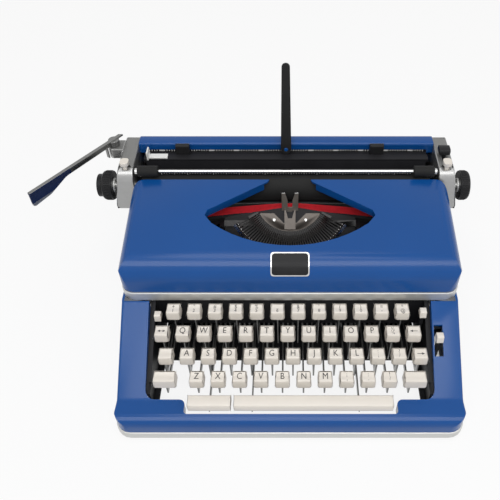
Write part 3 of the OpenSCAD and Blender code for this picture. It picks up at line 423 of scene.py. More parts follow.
def round_edges(piece, width, segments=2, clamped=False):
    """Rounds the edges of a piece by their weight, or all of them as far as the tightest allows."""
    bevel = piece.modifiers.new("Rounded edges", "BEVEL")
    bevel.width = width
    bevel.segments = segments
    bevel.limit_method = "ANGLE" if clamped else "WEIGHT"
    bevel.angle_limit = SHARP
    bevel.use_clamp_overlap = clamped
    bevel.harden_normals = not clamped
    bevel.material = -1


def place_rounded(name, shape, body, finish, width):
    """Makes a shape a piece with rounded edges."""
    soften(shape, width)
    round_edges(place_piece(name, shape, body, [finish]), width)


def thicken(shape, faces, offset):
    """Gives flat faces a thickness, and returns the vertices of the new side."""
    grown = bmesh.ops.extrude_face_region(shape, geom=faces)["geom"]
    moved = [item for item in grown if isinstance(item, bmesh.types.BMVert)]
    bmesh.ops.translate(shape, vec=offset, verts=moved)
    return moved


def dress(node, finishes, width=0.0, segments=2, prepare=None, clamped=False):
    """Puts a finished copy in the place of a node's solid."""
    shape = merged(node)
    if prepare:
        prepare(shape)
    if width and not clamped:
        soften(shape, width)
    piece = place_piece(f"{node}_finished", shape, NODE_BODY[node], finishes)
    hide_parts(node)
    if width:
        round_edges(piece, width, segments, clamped)
    return piece


def top_islands(shape):
    """The solids of a key node that reach its top, which are the key tops."""
    groups = islands(shape)
    highest = max(extent(group)[1].z for group in groups)
    return [group for group in groups if extent(group)[1].z > highest - KEY_TOP_BAND]


def mark_levers(shape):
    """Gives the levers under the key tops the second finish."""
    tops = {face for group in top_islands(shape) for face in group}
    for face in shape.faces:
        face.material_index = 0 if face in tops else 1


def sign(text, size):
    """A sign as a thin closed shape, lying flat and centred on the origin."""
    curve = bpy.data.curves.new("sign", "FONT")
    curve.body = text
    curve.size = size
    curve.align_x = "CENTER"
    curve.align_y = "CENTER"
    curve.resolution_u = 3
    curve.extrude = bpy.context.scene.typewriter_sizes.ink_depth
    holder = bpy.data.objects.new("sign", curve)
    bpy.context.scene.collection.objects.link(holder)
    graph = bpy.context.evaluated_depsgraph_get()
    mesh = bpy.data.meshes.new_from_object(holder.evaluated_get(graph))
    bpy.data.objects.remove(holder)
    bpy.data.curves.remove(curve)
    return mesh


def add_mesh(shape, mesh, place):
    """Adds a mesh to a shape at a place, and returns its vertices."""
    known = len(shape.verts)
    shape.from_mesh(mesh)
    shape.verts.ensure_lookup_table()
    new = shape.verts[known:]
    bmesh.ops.transform(shape, matrix=place, verts=new)
    bpy.data.meshes.remove(mesh)
    return new


def lay_on(verts, base, ground):
    """Lets flat vertices down onto a surface, keeping their height over base."""
    for vert in verts:
        above = Vector((vert.co.x, vert.co.y, base + RAY_HEIGHT))
        hit = ground.ray_cast(above, -UP)[0]
        if hit:
            vert.co.z += hit.z - base


def add_arrow(shape, centre, half, heads):
    """A flat arrow along x, with a head on each of the given sides."""
    depth = bpy.context.scene.typewriter_sizes.ink_depth
    line = ARROW_LINE
    bars = [((-half, -line), (half, -line), (half, line), (-half, line))]
    for side in heads:
        tip = side * half
        back = side * (half - ARROW_HEAD)
        bars.append(((tip + side * ARROW_TIP, 0), (back, ARROW_SPREAD), (back, -ARROW_SPREAD)))
    new = []
    for outline in bars:
        corners = [centre + Vector((x, y, -depth)) for x, y in outline]
        face = shape.faces.new([shape.verts.new(corner) for corner in corners])
        lifted = thicken(shape, [face], UP * (2 * depth))
        new.extend(list(face.verts) + lifted)
    return new


def print_legends(node, legends, ink, arrows=None):
    """Prints the signs of one key node on its tops, as a piece that rides with the keys."""
    sizes = bpy.context.scene.typewriter_sizes
    keys = merged(node)
    ground = BVHTree.FromBMesh(keys)
    shape = bmesh.new()
    for group, legend in zip(top_islands(keys), legends):
        low, high = extent(group)
        middle = Vector(((low.x + high.x) / 2, (low.y + high.y) / 2, high.z))
        if arrows:
            lay_on(add_arrow(shape, middle, ARROW_HALF, arrows), high.z, ground)
            continue
        upper, lower = legend
        lines = [(lower, sizes.letter, LETTER_SHIFT)]
        if upper:
            lines = [(upper, sizes.figure, UPPER_SHIFT), (lower, sizes.figure, LOWER_SHIFT)]
        for text, size, shift in lines:
            tall = Matrix.Diagonal((1, SIGN_STRETCH, 1, 1))
            place = Matrix.Translation(middle + Vector((0, shift, 0))) @ tall
            lay_on(add_mesh(shape, sign(text, size), place), high.z, ground)
    keys.free()
    bmesh.ops.remove_doubles(shape, verts=shape.verts, dist=0.005 * MM)
    bmesh.ops.recalc_face_normals(shape, faces=shape.faces)
    place_piece(f"{node}_legends", shape, NODE_BODY[node], [ink])


def add_block(shape, low, high, material=0):
    """Adds a plain block between two corners."""
    place = Matrix.Translation((low + high) / 2) @ Matrix.Diagonal((high - low).to_4d())
    new = bmesh.ops.create_cube(shape, size=1.0, matrix=place)["verts"]
    for face in {face for vert in new for face in vert.link_faces}:
        face.material_index = material


def cover_middle():
    """The machine's middle across, which is that of its cover."""
    low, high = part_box("ribbon_cover")
    return (low.x + high.x) / 2


class DressOperator:
    """Common part of the operators that dress a group of nodes."""

    bl_options = {"REGISTER", "UNDO"}

    def execute(self, context):
        self.build(context.scene.typewriter_colours, context.scene.typewriter_sizes)
        return {"FINISHED"}


class TYPEWRITER_OT_stage(bpy.types.Operator):
    """Sets up the white floor, the studio lights and the camera"""

    bl_idname = "typewriter.stage"
    bl_label = "Stage"
    bl_options = {"REGISTER", "UNDO"}

    camera_back = 393.75 * MM
    camera_height = 518 * MM
    camera_tilt = math.radians(43)
    camera_lens = 43.63
    camera_shift = -0.08
    sensor_width = 36
    floor_glow = 0.86
    floor_half = 6.0
    sky_light = 0.38
    lit_point = Vector((0, 0, 0.05))

    def execute(self, context):
        scene = context.scene
        scene.view_settings.view_transform = "Standard"
        self.make_camera(scene)
        self.make_floor(scene)
        self.make_world(scene)
        self.make_lights(scene)
        return {"FINISHED"}

    def make_camera(self, scene):
        data = bpy.data.cameras.new("camera")
        data.lens = self.camera_lens
        data.sensor_width = self.sensor_width
        data.shift_x = self.camera_shift
        camera = bpy.data.objects.new("camera", data)
        camera.location = (cover_middle(), -self.camera_back, self.camera_height)
        camera.rotation_euler = (self.camera_tilt, 0, 0)
        scene.collection.objects.link(camera)
        scene.camera = camera

    def seen(self, finish):
        """1 where the camera sees the surface itself, in a mirror or through glass."""
        path = finish.tree.nodes.new("ShaderNodeLightPath")
        camera, glossy, clear = (
            Wire(finish, path.outputs[f"Is {kind} Ray"]) for kind in ("Camera", "Glossy", "Transmission")
        )
        return camera + glossy + clear

    def make_floor(self, scene):
        finish = Finish("white floor", {"Base Color": (0.86, 0.86, 0.86, 1), "Roughness": 0.9})
        shine = finish.add("ShaderNodeEmission", values={"Color": (1, 1, 1, 1), "Strength": 1.0})
        lit = Wire(finish, finish.shader.outputs[0])
        share = self.seen(finish) * self.floor_glow
        mixed = finish.add("ShaderNodeMixShader", values={0: share, 1: lit, 2: shine})
        finish.join(mixed, finish.tree.nodes["Material Output"].inputs["Surface"])
        shape = bmesh.new()
        bmesh.ops.create_grid(shape, x_segments=1, y_segments=1, size=self.floor_half)
        mesh = bpy.data.meshes.new("floor")
        shape.to_mesh(mesh)
        shape.free()
        mesh.materials.append(finish.material)
        floor = bpy.data.objects.new("floor", mesh)
        scene.collection.objects.link(floor)

    def make_world(self, scene):
        world = bpy.data.worlds.new("studio")
        scene.world = world
        world.use_nodes = True
        background = world.node_tree.nodes["Background"]
        background.inputs["Color"].default_value = (1, 1, 1, 1)
        nodes, links = world.node_tree.nodes, world.node_tree.links
        path = nodes.new("ShaderNodeLightPath")
        total = path.outputs["Is Camera Ray"]
        for kind in ("Glossy", "Transmission"):
            both = nodes.new("ShaderNodeMath")
            links.new(total, both.inputs[0])
            links.new(path.outputs[f"Is {kind} Ray"], both.inputs[1])
            total = both.outputs[0]
        strength = nodes.new("ShaderNodeMapRange")
        strength.inputs["To Min"].default_value = self.sky_light
        strength.inputs["To Max"].default_value = 1.0
        links.new(total, strength.inputs["Value"])
        links.new(strength.outputs["Result"], background.inputs["Strength"])

    def make_lights(self, scene):
        lamps = [
            ("key lamp", (0.0, -0.95, 1.4), (1.5, 0.5), 10),
            ("fill lamp", (1.2, -0.5, 1.0), (0.9, 0.9), 2.5),
            ("top lamp", (0.0, -0.1, 1.8), (0.9, 0.9), 7),
        ]
        for name, place, (width, depth), power in lamps:
            data = bpy.data.lights.new(name, "AREA")
            data.energy = power
            data.shape = "RECTANGLE"
            data.size = width
            data.size_y = depth
            lamp = bpy.data.objects.new(name, data)
            lamp.location = place
            aim = self.lit_point - lamp.location
            lamp.rotation_euler = aim.to_track_quat("-Z", "Y").to_euler()
            scene.collection.objects.link(lamp)


class TYPEWRITER_OT_casing(DressOperator, bpy.types.Operator):
    """Dresses the casing, its trim and its feet"""

    bl_idname = "typewriter.casing"
    bl_label = "Casing"

    wing_segments = 5
    base_round = 1.2 * MM
    feet_round = 0.8 * MM

    def build(self, colours, sizes):
        paint = blue_paint(colours)
        dress("lower_casing", [paint], sizes.paint_round, 2, self.round_wings(sizes.wing_round), True)
        trim = trim_metal(colours)
        dress("base_trim", [trim], self.base_round, 3)
        dress("cover_trim", [trim], sizes.paint_round)
        dress("rubber_feet", [rubber(colours)], self.feet_round)

    def round_wings(self, width):
        """Rounds the outer upper edge of both wings."""
        cover_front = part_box("ribbon_cover")[0].y

        def outer(edge):
            if len(edge.link_faces) < 2 or max(vert.co.y for vert in edge.verts) > cover_front:
                return False
            side = any(abs(face.normal.x) > 0.99 for face in edge.link_faces)
            return side and any(face.normal.z > 0.5 for face in edge.link_faces)

        def prepare(shape):
            reach = max(abs(vert.co.x - cover_middle()) for vert in shape.verts)
            edges = [
                edge for edge in shape.edges
                if outer(edge) and abs(edge.verts[0].co.x - cover_middle()) > reach - TINY
            ]
            bmesh.ops.bevel(
                shape, geom=edges, offset=width, offset_type="OFFSET", segments=self.wing_segments,
                profile=0.5, affect="EDGES", clamp_overlap=False, material=-1,
            )

        return prepare


class TYPEWRITER_OT_ribbon_cover(DressOperator, bpy.types.Operator):
    """Dresses the ribbon cover and fixes a bare badge to its front"""

    bl_idname = "typewriter.ribbon_cover"
    bl_label = "Ribbon cover"

    badge_front = -32.5 * MM
    badge_height = 112 * MM
    badge_corner = 2.6 * MM
    badge_edge = 2.2 * MM
    border_thick = 0.8 * MM
    field_thick = 1.1 * MM
    badge_round = 0.25 * MM
    badge_reach = 60 * MM
    look = Vector((0, 0.72, -0.69))
    rise = Vector((0, 0.69, 0.72))

    def build(self, colours, sizes):
        dress("ribbon_cover", [blue_paint(colours)], sizes.paint_round, 2, clamped=True)
        cover = merged("ribbon_cover")
        ground = BVHTree.FromBMesh(cover)
        steel, plastic = bright_steel(colours), black_plastic(colours)
        self.badge("badge_border", 0, self.border_thick, ground, steel, "steel")
        self.badge("badge_field", self.badge_edge, self.field_thick, ground, plastic, "black_plastic")
        cover.free()

    def badge(self, name, inset, thick, ground, finish, slot):
        """A plate with round corners that follows the cover's curve."""
        sizes = bpy.context.scene.typewriter_sizes
        half_w = (sizes.badge_width - inset) / 2
        half_d = (sizes.badge_depth - inset) / 2
        corner = self.badge_corner
        centre = Vector((cover_middle(), self.badge_front, self.badge_height))
        shape = bmesh.new()
        bmesh.ops.create_grid(shape, x_segments=24, y_segments=16, size=1.0)
        for vert in shape.verts:
            x, y = vert.co.x * half_w, vert.co.y * half_d
            over_x, over_y = abs(x) - (half_w - corner), abs(y) - (half_d - corner)
            if over_x > 0 and over_y > 0:
                pull = max(over_x, over_y) / math.hypot(over_x, over_y)
                x = math.copysign(half_w - corner + over_x * pull, x)
                y = math.copysign(half_d - corner + over_y * pull, y)
            start = centre + Vector((x, 0, 0)) + self.rise * y - self.look * self.badge_reach
            hit = ground.ray_cast(start, self.look)[0]
            if hit is None:
                raise RuntimeError("the badge misses the cover")
            vert.co = hit
        bmesh.ops.recalc_face_normals(shape, faces=shape.faces)
        thicken(shape, list(shape.faces), -self.look * thick)
        bmesh.ops.recalc_face_normals(shape, faces=shape.faces)
        place_rounded(name, shape, "cover", finish, self.badge_round)


class TYPEWRITER_OT_frame(DressOperator, bpy.types.Operator):
    """Dresses the frame, the rails and the mainspring drum"""

    bl_idname = "typewriter.frame"
    bl_label = "Frame"

    well_half = 129.8 * MM
    gap_w = 2.3 * MM
    strip_front = (27 * MM, 28.9 * MM)
    strip_rear = (103 * MM, 71.3 * MM)
    strip_t = 1.2 * MM
    toe_front = 26 * MM
    toe_rear = 37 * MM
    toe_low = 13.2 * MM
    toe_high = 34.5 * MM
    cheek_outline = (
        (37 * MM, 26 * MM), (71.2 * MM, 36 * MM), (103 * MM, 73 * MM), (37 * MM, 36 * MM)
    )
    tail_half = 124.5 * MM
    tail_front = 110.9 * MM
    tail_rear = 123 * MM
    tail_low = 13.7 * MM
    tail_high = 14.7 * MM
    screen_half = 118 * MM
    screen_low = 45 * MM
    screen_gap = 1 * MM
    screen_t = 0.8 * MM

    def build(self, colours, sizes):
        black = black_metal(colours)
        dress("main_frame", [black], sizes.metal_round)
        dress("carriage_bed", [black], sizes.metal_round)
        dress("carriage_rails", [bar_steel(colours)], sizes.metal_round)
        dress("mainspring_drum", [bright_steel(colours)], sizes.metal_round)
        self.rear_screen(black)
        self.well_sides(black)

    def well_sides(self, finish):
        """Black sheets that close the gaps beside the keys and the tail of the tray under them."""
        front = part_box("lower_casing")[0].y
        strip_foot = Vector((0, front + self.strip_front[0], self.strip_front[1]))
        strip_head = Vector((0, front + self.strip_rear[0], self.strip_rear[1]))
        slope = strip_head - strip_foot
        tilt = Matrix.Rotation(math.atan2(slope.z, slope.y), 4, "X")
        shape = bmesh.new()
        for side in (-1, 1):
            x = cover_middle() + side * (self.well_half - self.gap_w / 2)
            place = Matrix.Translation((strip_foot + strip_head) / 2 + Vector((x, 0, 0))) @ tilt
            size = Matrix.Diagonal((self.gap_w, slope.length, self.strip_t, 1))
            bmesh.ops.create_cube(shape, size=1.0, matrix=place @ size)
            x -= side * self.gap_w
            low = Vector((x - self.gap_w / 2, front + self.toe_front, self.toe_low))
            add_block(shape, low, Vector((x + self.gap_w / 2, front + self.toe_rear, self.toe_high)))
            corners = [shape.verts.new((low.x, front + y, z)) for y, z in self.cheek_outline]
            thicken(shape, [shape.faces.new(corners)], Vector((self.gap_w, 0, 0)))
        middle = cover_middle()
        add_block(
            shape,
            Vector((middle - self.tail_half, front + self.tail_front, self.tail_low)),
            Vector((middle + self.tail_half, front + self.tail_rear, self.tail_high)),
        )
        bmesh.ops.recalc_face_normals(shape, faces=shape.faces)
        place_piece("well_sides", shape, NODE_BODY["main_frame"], [finish])

    def rear_screen(self, finish):
        """A black sheet between the type basket and the carriage rails."""
        cover_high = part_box("ribbon_cover")[1]
        plate_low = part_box("left_end_plate")[0]
        shape = bmesh.new()
        add_block(
            shape,
            Vector((cover_middle() - self.screen_half, cover_high.y + self.screen_gap, self.screen_low)),
            Vector((
                cover_middle() + self.screen_half,
                cover_high.y + self.screen_gap + self.screen_t,
                plate_low.z - self.screen_gap,
            )),
        )
        body = NODE_BODY["main_frame"]
        place_rounded("rear_screen", shape, body, finish, self.screen_t / 4)


class TYPEWRITER_OT_type_basket(DressOperator, bpy.types.Operator):
    """Dresses the typebars, their segment and the type guide"""

    bl_idname = "typewriter.type_basket"
    bl_label = "Type basket"

    slug_l = 4.6 * MM
    # Type on the bars within this distance of the middle stays black, as painted shade.
    slug_shade_half = 26 * MM
    screw_x = 15.8 * MM
    screw_r = 1.5 * MM
    screw_h = 0.5 * MM
    screw_taper = 0.8
    slot_share = 1.3
    slot_w = 0.25 * MM
    slot_t = 0.04 * MM
    sheet_t = 0.6 * MM
    sheet_gap = 0.6 * MM
    plate_half = 2.6 * MM
    plate_foot = 8 * MM
    plate_gap = 0.2 * MM
    strike_room = 9.5 * MM

    def build(self, colours, sizes):
        steel = bright_steel(colours)
        black = bar_steel(colours)
        guide = guide_metal("grey guide", colours.guide)
        # A lighter copy of the guide's grey, as painted light on the ribbon lifter and the guide's
        # upright.
        vibrator = guide_metal("grey vibrator", colours.vibrator)
        dress("typebar_segment", [black])
        # The upward rims of the guide and of the ribbon_vibrator part get bright steel as a painted
        # highlight.
        dress("type_guide", [guide, steel], prepare=self.mark_rim_highlight)
        # The middle bars' type keeps the black finish, which is painted shade.
        dress("typebars", [black, steel], prepare=self.mark_slugs)
        dress("typebar_h", [black, steel], prepare=self.mark_slugs)
        dress("ribbon_vibrator", [vibrator, steel], prepare=self.mark_rim_highlight)
        self.guide_screws(steel, black)
        # A black sheet as painted shade under the segment.
        self.shade_sheet(black_metal(colours))
        self.guide_plate(vibrator)

    def print_point(self):
        """Where the type meets the platen."""
        low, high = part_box("platen")
        return Vector((cover_middle(), low.y, (low.z + high.z) / 2))

    def shade_sheet(self, finish):
        """A black sheet under the segment that stands in for the shade there, so that nothing shines up
        between the bars.
        """
        segment = merged("typebar_segment")
        level = max(segment.faces, key=lambda face: face.calc_area()).normal
        facing = level if level.z > 0 else -level
        deepest = min(vert.co.dot(facing) for vert in segment.verts)
        low, high = extent(segment.faces)
        segment.free()
        across = Vector((1, 0, 0))
        upward = facing.cross(across)
        start, end = low.dot(upward), high.dot(upward)
        size = Vector((high.x - low.x, end - start, self.sheet_t))
        turn = Matrix((across, upward, facing)).transposed().to_4x4()
        depth = deepest - self.sheet_gap - self.sheet_t / 2
        middle = across * ((low.x + high.x) / 2) + upward * ((start + end) / 2) + facing * depth
        shape = bmesh.new()
        place = Matrix.Translation(middle) @ turn @ Matrix.Diagonal(size.to_4d())
        bmesh.ops.create_cube(shape, size=1.0, matrix=place)
        bmesh.ops.recalc_face_normals(shape, faces=shape.faces)
        body = NODE_BODY["typebar_segment"]
        place_rounded("segment_sheet", shape, body, finish, self.sheet_t / 4)

    def guide_plate(self, finish):
        """The guide's upright, just in front of the ribbon_vibrator part, up to under the printing
        point.
        """
        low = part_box("ribbon_vibrator")[0]
        point = self.print_point()
        rear = low.y - self.plate_gap
        shape = bmesh.new()
        add_block(
            shape,
            Vector((point.x - self.plate_half, rear - self.sheet_t, low.z + self.plate_foot)),
            Vector((point.x + self.plate_half, rear, point.z - self.strike_room)),
        )
        place_piece("guide_plate", shape, NODE_BODY["type_guide"], [finish])

    def mark_slugs(self, shape):
        """The type at the free end of the outer bars is bright steel; on the middle bars it keeps the
        black of the bars, as painted shade under the cover's front lip.
        """
        point = self.print_point()
        reach = max((vert.co - point).length for vert in shape.verts) - self.slug_l
        for face in shape.faces:
            offset = face.calc_center_median() - point
            face.material_index = int(offset.length > reach and abs(offset.x) > self.slug_shade_half)

    def mark_rim_highlight(self, shape):
        """The cut rim of a plate gets bright steel only where it faces up, which is a painted highlight.
        """
        main = max(shape.faces, key=lambda face: face.calc_area()).normal
        for face in shape.faces:
            face.material_index = int(abs(face.normal.dot(main)) < 0.5 and face.normal.z > 0.05)

    def guide_screws(self, steel, black):
        """Two slotted screws in the face of the type guide, their slots drawn as thin black bars, which
        is painted shade.
        """
        guide = merged("type_guide")
        ground = BVHTree.FromBMesh(guide)
        low, high = extent(guide.faces)
        middle = (low + high) / 2
        shape = bmesh.new()
        for side in (-1, 1):
            start = Vector((middle.x + side * self.screw_x, middle.y, high.z + RAY_HEIGHT))
            hit, normal = ground.ray_cast(start, -UP)[:2]
            if hit is None:
                raise RuntimeError("a screw misses the type guide")
            place = Matrix.Translation(hit) @ UP.rotation_difference(normal).to_matrix().to_4x4()
            bmesh.ops.create_cone(
                shape, cap_ends=True, segments=20, radius1=self.screw_r,
                radius2=self.screw_r * self.screw_taper, depth=2 * self.screw_h, matrix=place,
            )
            # The slot is a thin black bar on the head, painted shade in place of the slot's recess.
            slot = Vector((self.screw_r * self.slot_share, self.slot_w, self.slot_t))
            slot_place = place @ Matrix.Translation((0, 0, self.screw_h)) @ Matrix.Diagonal(slot.to_4d())
            cut = bmesh.ops.create_cube(shape, size=1.0, matrix=slot_place)["verts"]
            for face in {face for vert in cut for face in vert.link_faces}:
                face.material_index = 1
        guide.free()
        place_piece("guide_screws", shape, NODE_BODY["type_guide"], [steel, black])


class TYPEWRITER_OT_ribbon(DressOperator, bpy.types.Operator):
    """Dresses the ribbon and its two spools"""

    bl_idname = "typewriter.ribbon"
    bl_label = "Ribbon"

    black_share = 0.3

    def build(self, colours, sizes):
        low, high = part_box("ribbon")
        dress("ribbon", [ribbon_cloth(colours, low.z + self.black_share * (high.z - low.z))])
        black = black_metal(colours)
        dress("left_spool", [black], sizes.metal_round)
        dress("right_spool", [black], sizes.metal_round)


class TYPEWRITER_OT_keys(DressOperator, bpy.types.Operator):
    """Dresses the keys and their levers and prints the legends"""

    bl_idname = "typewriter.keys"
    bl_label = "Keys"

    def build(self, colours, sizes):
        cream = key_plastic(colours)
        lever = lever_steel(colours)
        ink = key_ink(colours)
        rows = {"number_row_keys": NUMBER_ROW, "upper_row_keys": UPPER_ROW, "lower_row_keys": LOWER_ROW}
        rows.update({node: [legend] for node, legend in HOME_ROW.items()})
        arrows = {"margin_release_key": (-1, 1), "backspace_key": (-1,), "tab_key": (1,)}
        for node in [*rows, *arrows, *BARE_KEYS]:
            dress(node, [cream, lever], sizes.key_round, 3, mark_levers)
        for node, legends in rows.items():
            print_legends(node, legends, ink)
        for node, heads in arrows.items():
            print_legends(node, [None], ink, heads)


class TYPEWRITER_OT_small_levers(DressOperator, bpy.types.Operator):
    """Dresses the three small levers beside the keyboard"""

    bl_idname = "typewriter.small_levers"
    bl_label = "Small levers"

    cap = 7.05 * MM
    lever_round = 0.5 * MM

    def build(self, colours, sizes):
        cream = key_plastic(colours)
        black = black_metal(colours)
        for node in ("ribbon_reverse_lever", "colour_selector", "touch_control"):
            dress(node, [cream, black], self.lever_round, 2, self.mark_stem)

    def mark_stem(self, shape):
        highest = max(vert.co.z for vert in shape.verts)
        for face in shape.faces:
            face.material_index = int(face.calc_center_median().z < highest - self.cap)


class TYPEWRITER_OT_carriage(DressOperator, bpy.types.Operator):
    """Dresses the carriage: end plates, buttons, paper rest, rail, stops and pan"""

    bl_idname = "typewriter.carriage"
    bl_label = "Carriage"

    scale_t = 0.5 * MM
    scale_h = 2.4 * MM
    mark_h = 1.5 * MM
    mark_proud = 0.05 * MM
    wide_mark = 4.4 * MM
    narrow_mark = 0.8 * MM
    scale_low = 2 * MM
    plate_round = 1.4 * MM
    button_round = 0.6 * MM
    stop_round = 0.4 * MM
    guide_round = 0.3 * MM

    def build(self, colours, sizes):
        plate = plate_metal(colours)
        black = black_metal(colours)
        plastic = black_plastic(colours)
        # The plates' tops get the darker copy of the plate finish, which is painted shade.
        dull_shaded = shaded_plate_top_metal(colours)
        for side in ("left", "right"):
            dress(f"{side}_end_plate", [plate, dull_shaded], self.plate_round, 3, self.mark_shaded_top)
            dress(f"carriage_release_{side}", [key_plastic(colours)], self.button_round)
            dress(f"margin_stop_{side}", [plastic], self.stop_round)
        dress("paper_rest", [blue_paint(colours)], sizes.paint_round, 3)
        dress("margin_rail", [black], sizes.metal_round)
        dress("paper_pan", [black])
        dress("paper_guide", [white_mark(colours)], self.guide_round)
        dress("paper_release_lever", [plastic], self.button_round)
        self.rail_scale(colours, sizes)

    def mark_shaded_top(self, shape):
        """The flat top of an end plate is duller and, as painted shade, darker than its front."""
        for face in shape.faces:
            face.material_index = int(face.normal.z > 0.9)

    def rail_scale(self, colours, sizes):
        """A black strip behind the rail with white marks, a wide one at every tenth step."""
        low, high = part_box("margin_rail")
        shape = bmesh.new()
        front = high.y - self.scale_t
        foot = low.z + self.scale_low
        top = foot + self.scale_h
        add_block(shape, Vector((low.x, front, foot)), Vector((high.x, high.y, top)), 1)
        steps = int((high.x - low.x) / sizes.typing_step) - 2
        first = (low.x + high.x - steps * sizes.typing_step) / 2
        for i in range(steps + 1):
            x = first + i * sizes.typing_step
            half = self.wide_mark / 2 if i % 10 == 5 else self.narrow_mark / 2
            add_block(
                shape,
                Vector((x - half, front - self.mark_proud, top - self.mark_h)),
                Vector((x + half, front, top + self.mark_proud)),
            )
        finishes = [white_mark(colours), black_metal(colours)]
        place_piece("rail_scale", shape, NODE_BODY["margin_rail"], finishes)


class TYPEWRITER_OT_platen(DressOperator, bpy.types.Operator):
    """Dresses the platen, its shaft and the ribbed knobs"""

    bl_idname = "typewriter.platen"
    bl_label = "Platen"

    rib_count = 44
    rib_w = 1.0 * MM
    rib_h = 0.5 * MM
    collar_l = 1.8 * MM
    collar_r = 8 * MM
    rib_margin = 1.2 * MM
    platen_round = 0.6 * MM
    shaft_round = 0.4 * MM
    knob_round = 0.5 * MM
    close = 0.1 * MM

    def build(self, colours, sizes):
        dress("platen", [rubber(colours)], self.platen_round)
        dress("platen_shaft", [rod_steel(colours)], self.shaft_round)
        finishes = [black_plastic(colours), trim_metal(colours)]
        for node in ("left_knob", "right_knob"):
            dress(node, finishes, self.knob_round, prepare=self.knob_detail(node))

    def knob_detail(self, node):
        """A bright collar beside the plate, and ribs round the knob's thick part."""
        low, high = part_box(node)
        centre = (low + high) / 2
        radius = (high.z - low.z) / 2
        inner = high.x if node == "left_knob" else low.x

        def from_axis(point):
            return math.hypot(point.y - centre.y, point.z - centre.z)

        def prepare(shape):
            grip = [vert.co.x for vert in shape.verts if from_axis(vert.co) > radius - self.close]
            start, end = min(grip) + self.rib_margin, max(grip) - self.rib_margin
            for face in shape.faces:
                points = [vert.co for vert in face.verts]
                near = all(abs(point.x - inner) < self.collar_l + self.close for point in points)
                slim = all(from_axis(point) < self.collar_r for point in points)
                face.material_index = int(near and slim)
            rib = Matrix.Diagonal((end - start, self.rib_w, 2 * self.rib_h, 1))
            outward = Matrix.Translation((0, 0, radius))
            for i in range(self.rib_count):
                turn = Matrix.Rotation(2 * math.pi * i / self.rib_count, 4, "X")
                place = Matrix.Translation(((start + end) / 2, centre.y, centre.z)) @ turn
                bmesh.ops.create_cube(shape, size=1.0, matrix=place @ outward @ rib)

        return prepare


class TYPEWRITER_OT_paper_bail(DressOperator, bpy.types.Operator):
    """Dresses the paper bail, its scale and its rollers"""

    bl_idname = "typewriter.paper_bail"
    bl_label = "Paper bail"

    roller_round = 0.8 * MM
    strip_reach = 1.1 * MM
    tenth_mark = 0.75
    fifth_mark = 0.6
    plain_mark = 0.42
    mark_w = 0.35 * MM
    mark_proud = 0.05 * MM

    def build(self, colours, sizes):
        dress("paper_bail", [rod_steel(colours), black_metal(colours)], prepare=self.mark_strip)
        dress("bail_rollers", [rubber(colours)], self.roller_round)
        self.bail_scale(colours, sizes)

    def strip_front(self, shape):
        """The front of the flat strip under the rod."""
        upright = [face for face in shape.faces if face.normal.y < -0.9]
        return max(upright, key=lambda face: face.calc_area())

    def mark_strip(self, shape):
        """The flat strip under the rod is black, with bright arms and rod."""
        low, high = extent([self.strip_front(shape)])
        for face in shape.faces:
            middle = face.calc_center_median()
            inside = low.x - TINY <= middle.x <= high.x + TINY and middle.z < high.z - TINY
            face.material_index = int(inside and abs(middle.y - low.y) < self.strip_reach)

    def bail_scale(self, colours, sizes):
        """Fine marks along the front of the strip, longer at every fifth and tenth step."""
        bail = merged("paper_bail")
        low, high = extent([self.strip_front(bail)])
        bail.free()
        shape = bmesh.new()
        steps = int((high.x - low.x) / sizes.typing_step) - 1
        first = (low.x + high.x - steps * sizes.typing_step) / 2
        for i in range(steps + 1):
            x = first + i * sizes.typing_step
            reach = self.plain_mark
            if i % 5 == 0:
                reach = self.fifth_mark if i % 10 else self.tenth_mark
            foot = high.z - reach * (high.z - low.z)
            add_block(
                shape,
                Vector((x - self.mark_w / 2, low.y - self.mark_proud, foot)),
                Vector((x + self.mark_w / 2, low.y + self.mark_proud, high.z)),
            )
        place_piece("bail_scale", shape, NODE_BODY["paper_bail"], [white_mark(colours)])


class TYPEWRITER_OT_return_lever(DressOperator, bpy.types.Operator):
    """Dresses the carriage return lever"""

    bl_idname = "typewriter.return_lever"
    bl_label = "Return lever"

    painted_l = 30 * MM
    bare_strip = 4 * MM
    lever_round = 0.35 * MM

    def build(self, colours, sizes):
        finishes = [lever_steel(colours), paddle_paint(colours), plate_metal(colours)]
        dress("return_lever", finishes, self.lever_round, 2, self.mark_paddle)

    def mark_paddle(self, shape):
        """The upright faces of the paddle are painted down to a bare strip."""
        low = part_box("return_lever")[0]
        foot = min(vert.co.z for vert in shape.verts if vert.co.x < low.x + self.painted_l / 2)
        cuts = (
            (Vector((low.x + self.painted_l, 0, 0)), Vector((1, 0, 0))),
            (Vector((0, 0, foot + self.bare_strip)), UP),
        )
        for point, normal in cuts:
            geometry = [*shape.verts, *shape.edges, *shape.faces]
            bmesh.ops.bisect_plane(shape, geom=geometry, plane_co=point, plane_no=normal)
        for face in shape.faces:
            middle = face.calc_center_median()
            if middle.x < low.x + self.painted_l and abs(face.normal.z) < 0.3:
                face.material_index = 1 if middle.z > foot + self.bare_strip else 2


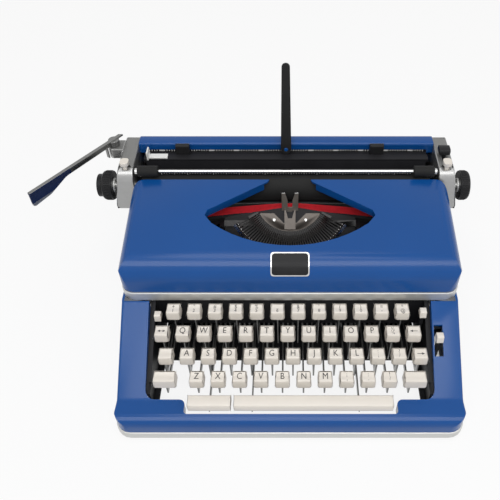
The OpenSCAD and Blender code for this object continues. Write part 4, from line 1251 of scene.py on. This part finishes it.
class TYPEWRITER_OT_paper_support(DressOperator, bpy.types.Operator):
    """Dresses the upright paper support"""

    bl_idname = "typewriter.paper_support"
    bl_label = "Paper support"

    support_round = 0.5 * MM

    def build(self, colours, sizes):
        dress("paper_support", [black_plastic(colours)], self.support_round, 3)


PIECE_OPERATORS = (
    TYPEWRITER_OT_casing,
    TYPEWRITER_OT_ribbon_cover,
    TYPEWRITER_OT_frame,
    TYPEWRITER_OT_type_basket,
    TYPEWRITER_OT_ribbon,
    TYPEWRITER_OT_keys,
    TYPEWRITER_OT_small_levers,
    TYPEWRITER_OT_carriage,
    TYPEWRITER_OT_platen,
    TYPEWRITER_OT_paper_bail,
    TYPEWRITER_OT_return_lever,
    TYPEWRITER_OT_paper_support,
)
OPERATORS = (TYPEWRITER_OT_stage, *PIECE_OPERATORS)


class TYPEWRITER_PT_panel(bpy.types.Panel):
    """Lists the operators that dress the typewriter"""

    bl_idname = "TYPEWRITER_PT_panel"
    bl_label = "Typewriter"
    bl_space_type = "VIEW_3D"
    bl_region_type = "UI"
    bl_category = "Typewriter"

    def draw(self, context):
        for operator in OPERATORS:
            self.layout.operator(operator.bl_idname)


CLASSES = (TypewriterColours, TypewriterSizes, *OPERATORS, TYPEWRITER_PT_panel)


def register():
    for cls in CLASSES:
        bpy.utils.register_class(cls)
    bpy.types.Scene.typewriter_colours = bpy.props.PointerProperty(type=TypewriterColours)
    bpy.types.Scene.typewriter_sizes = bpy.props.PointerProperty(type=TypewriterSizes)


def unregister():
    del bpy.types.Scene.typewriter_sizes
    del bpy.types.Scene.typewriter_colours
    for cls in reversed(CLASSES):
        bpy.utils.unregister_class(cls)


def main():
    register()
    bpy.ops.typewriter.stage()
    bpy.ops.typewriter.casing()
    bpy.ops.typewriter.ribbon_cover()
    bpy.ops.typewriter.frame()
    bpy.ops.typewriter.type_basket()
    bpy.ops.typewriter.ribbon()
    bpy.ops.typewriter.keys()
    bpy.ops.typewriter.small_levers()
    bpy.ops.typewriter.carriage()
    bpy.ops.typewriter.platen()
    bpy.ops.typewriter.paper_bail()
    bpy.ops.typewriter.return_lever()
    bpy.ops.typewriter.paper_support()
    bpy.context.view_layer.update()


if __name__ == "__main__":
    main()
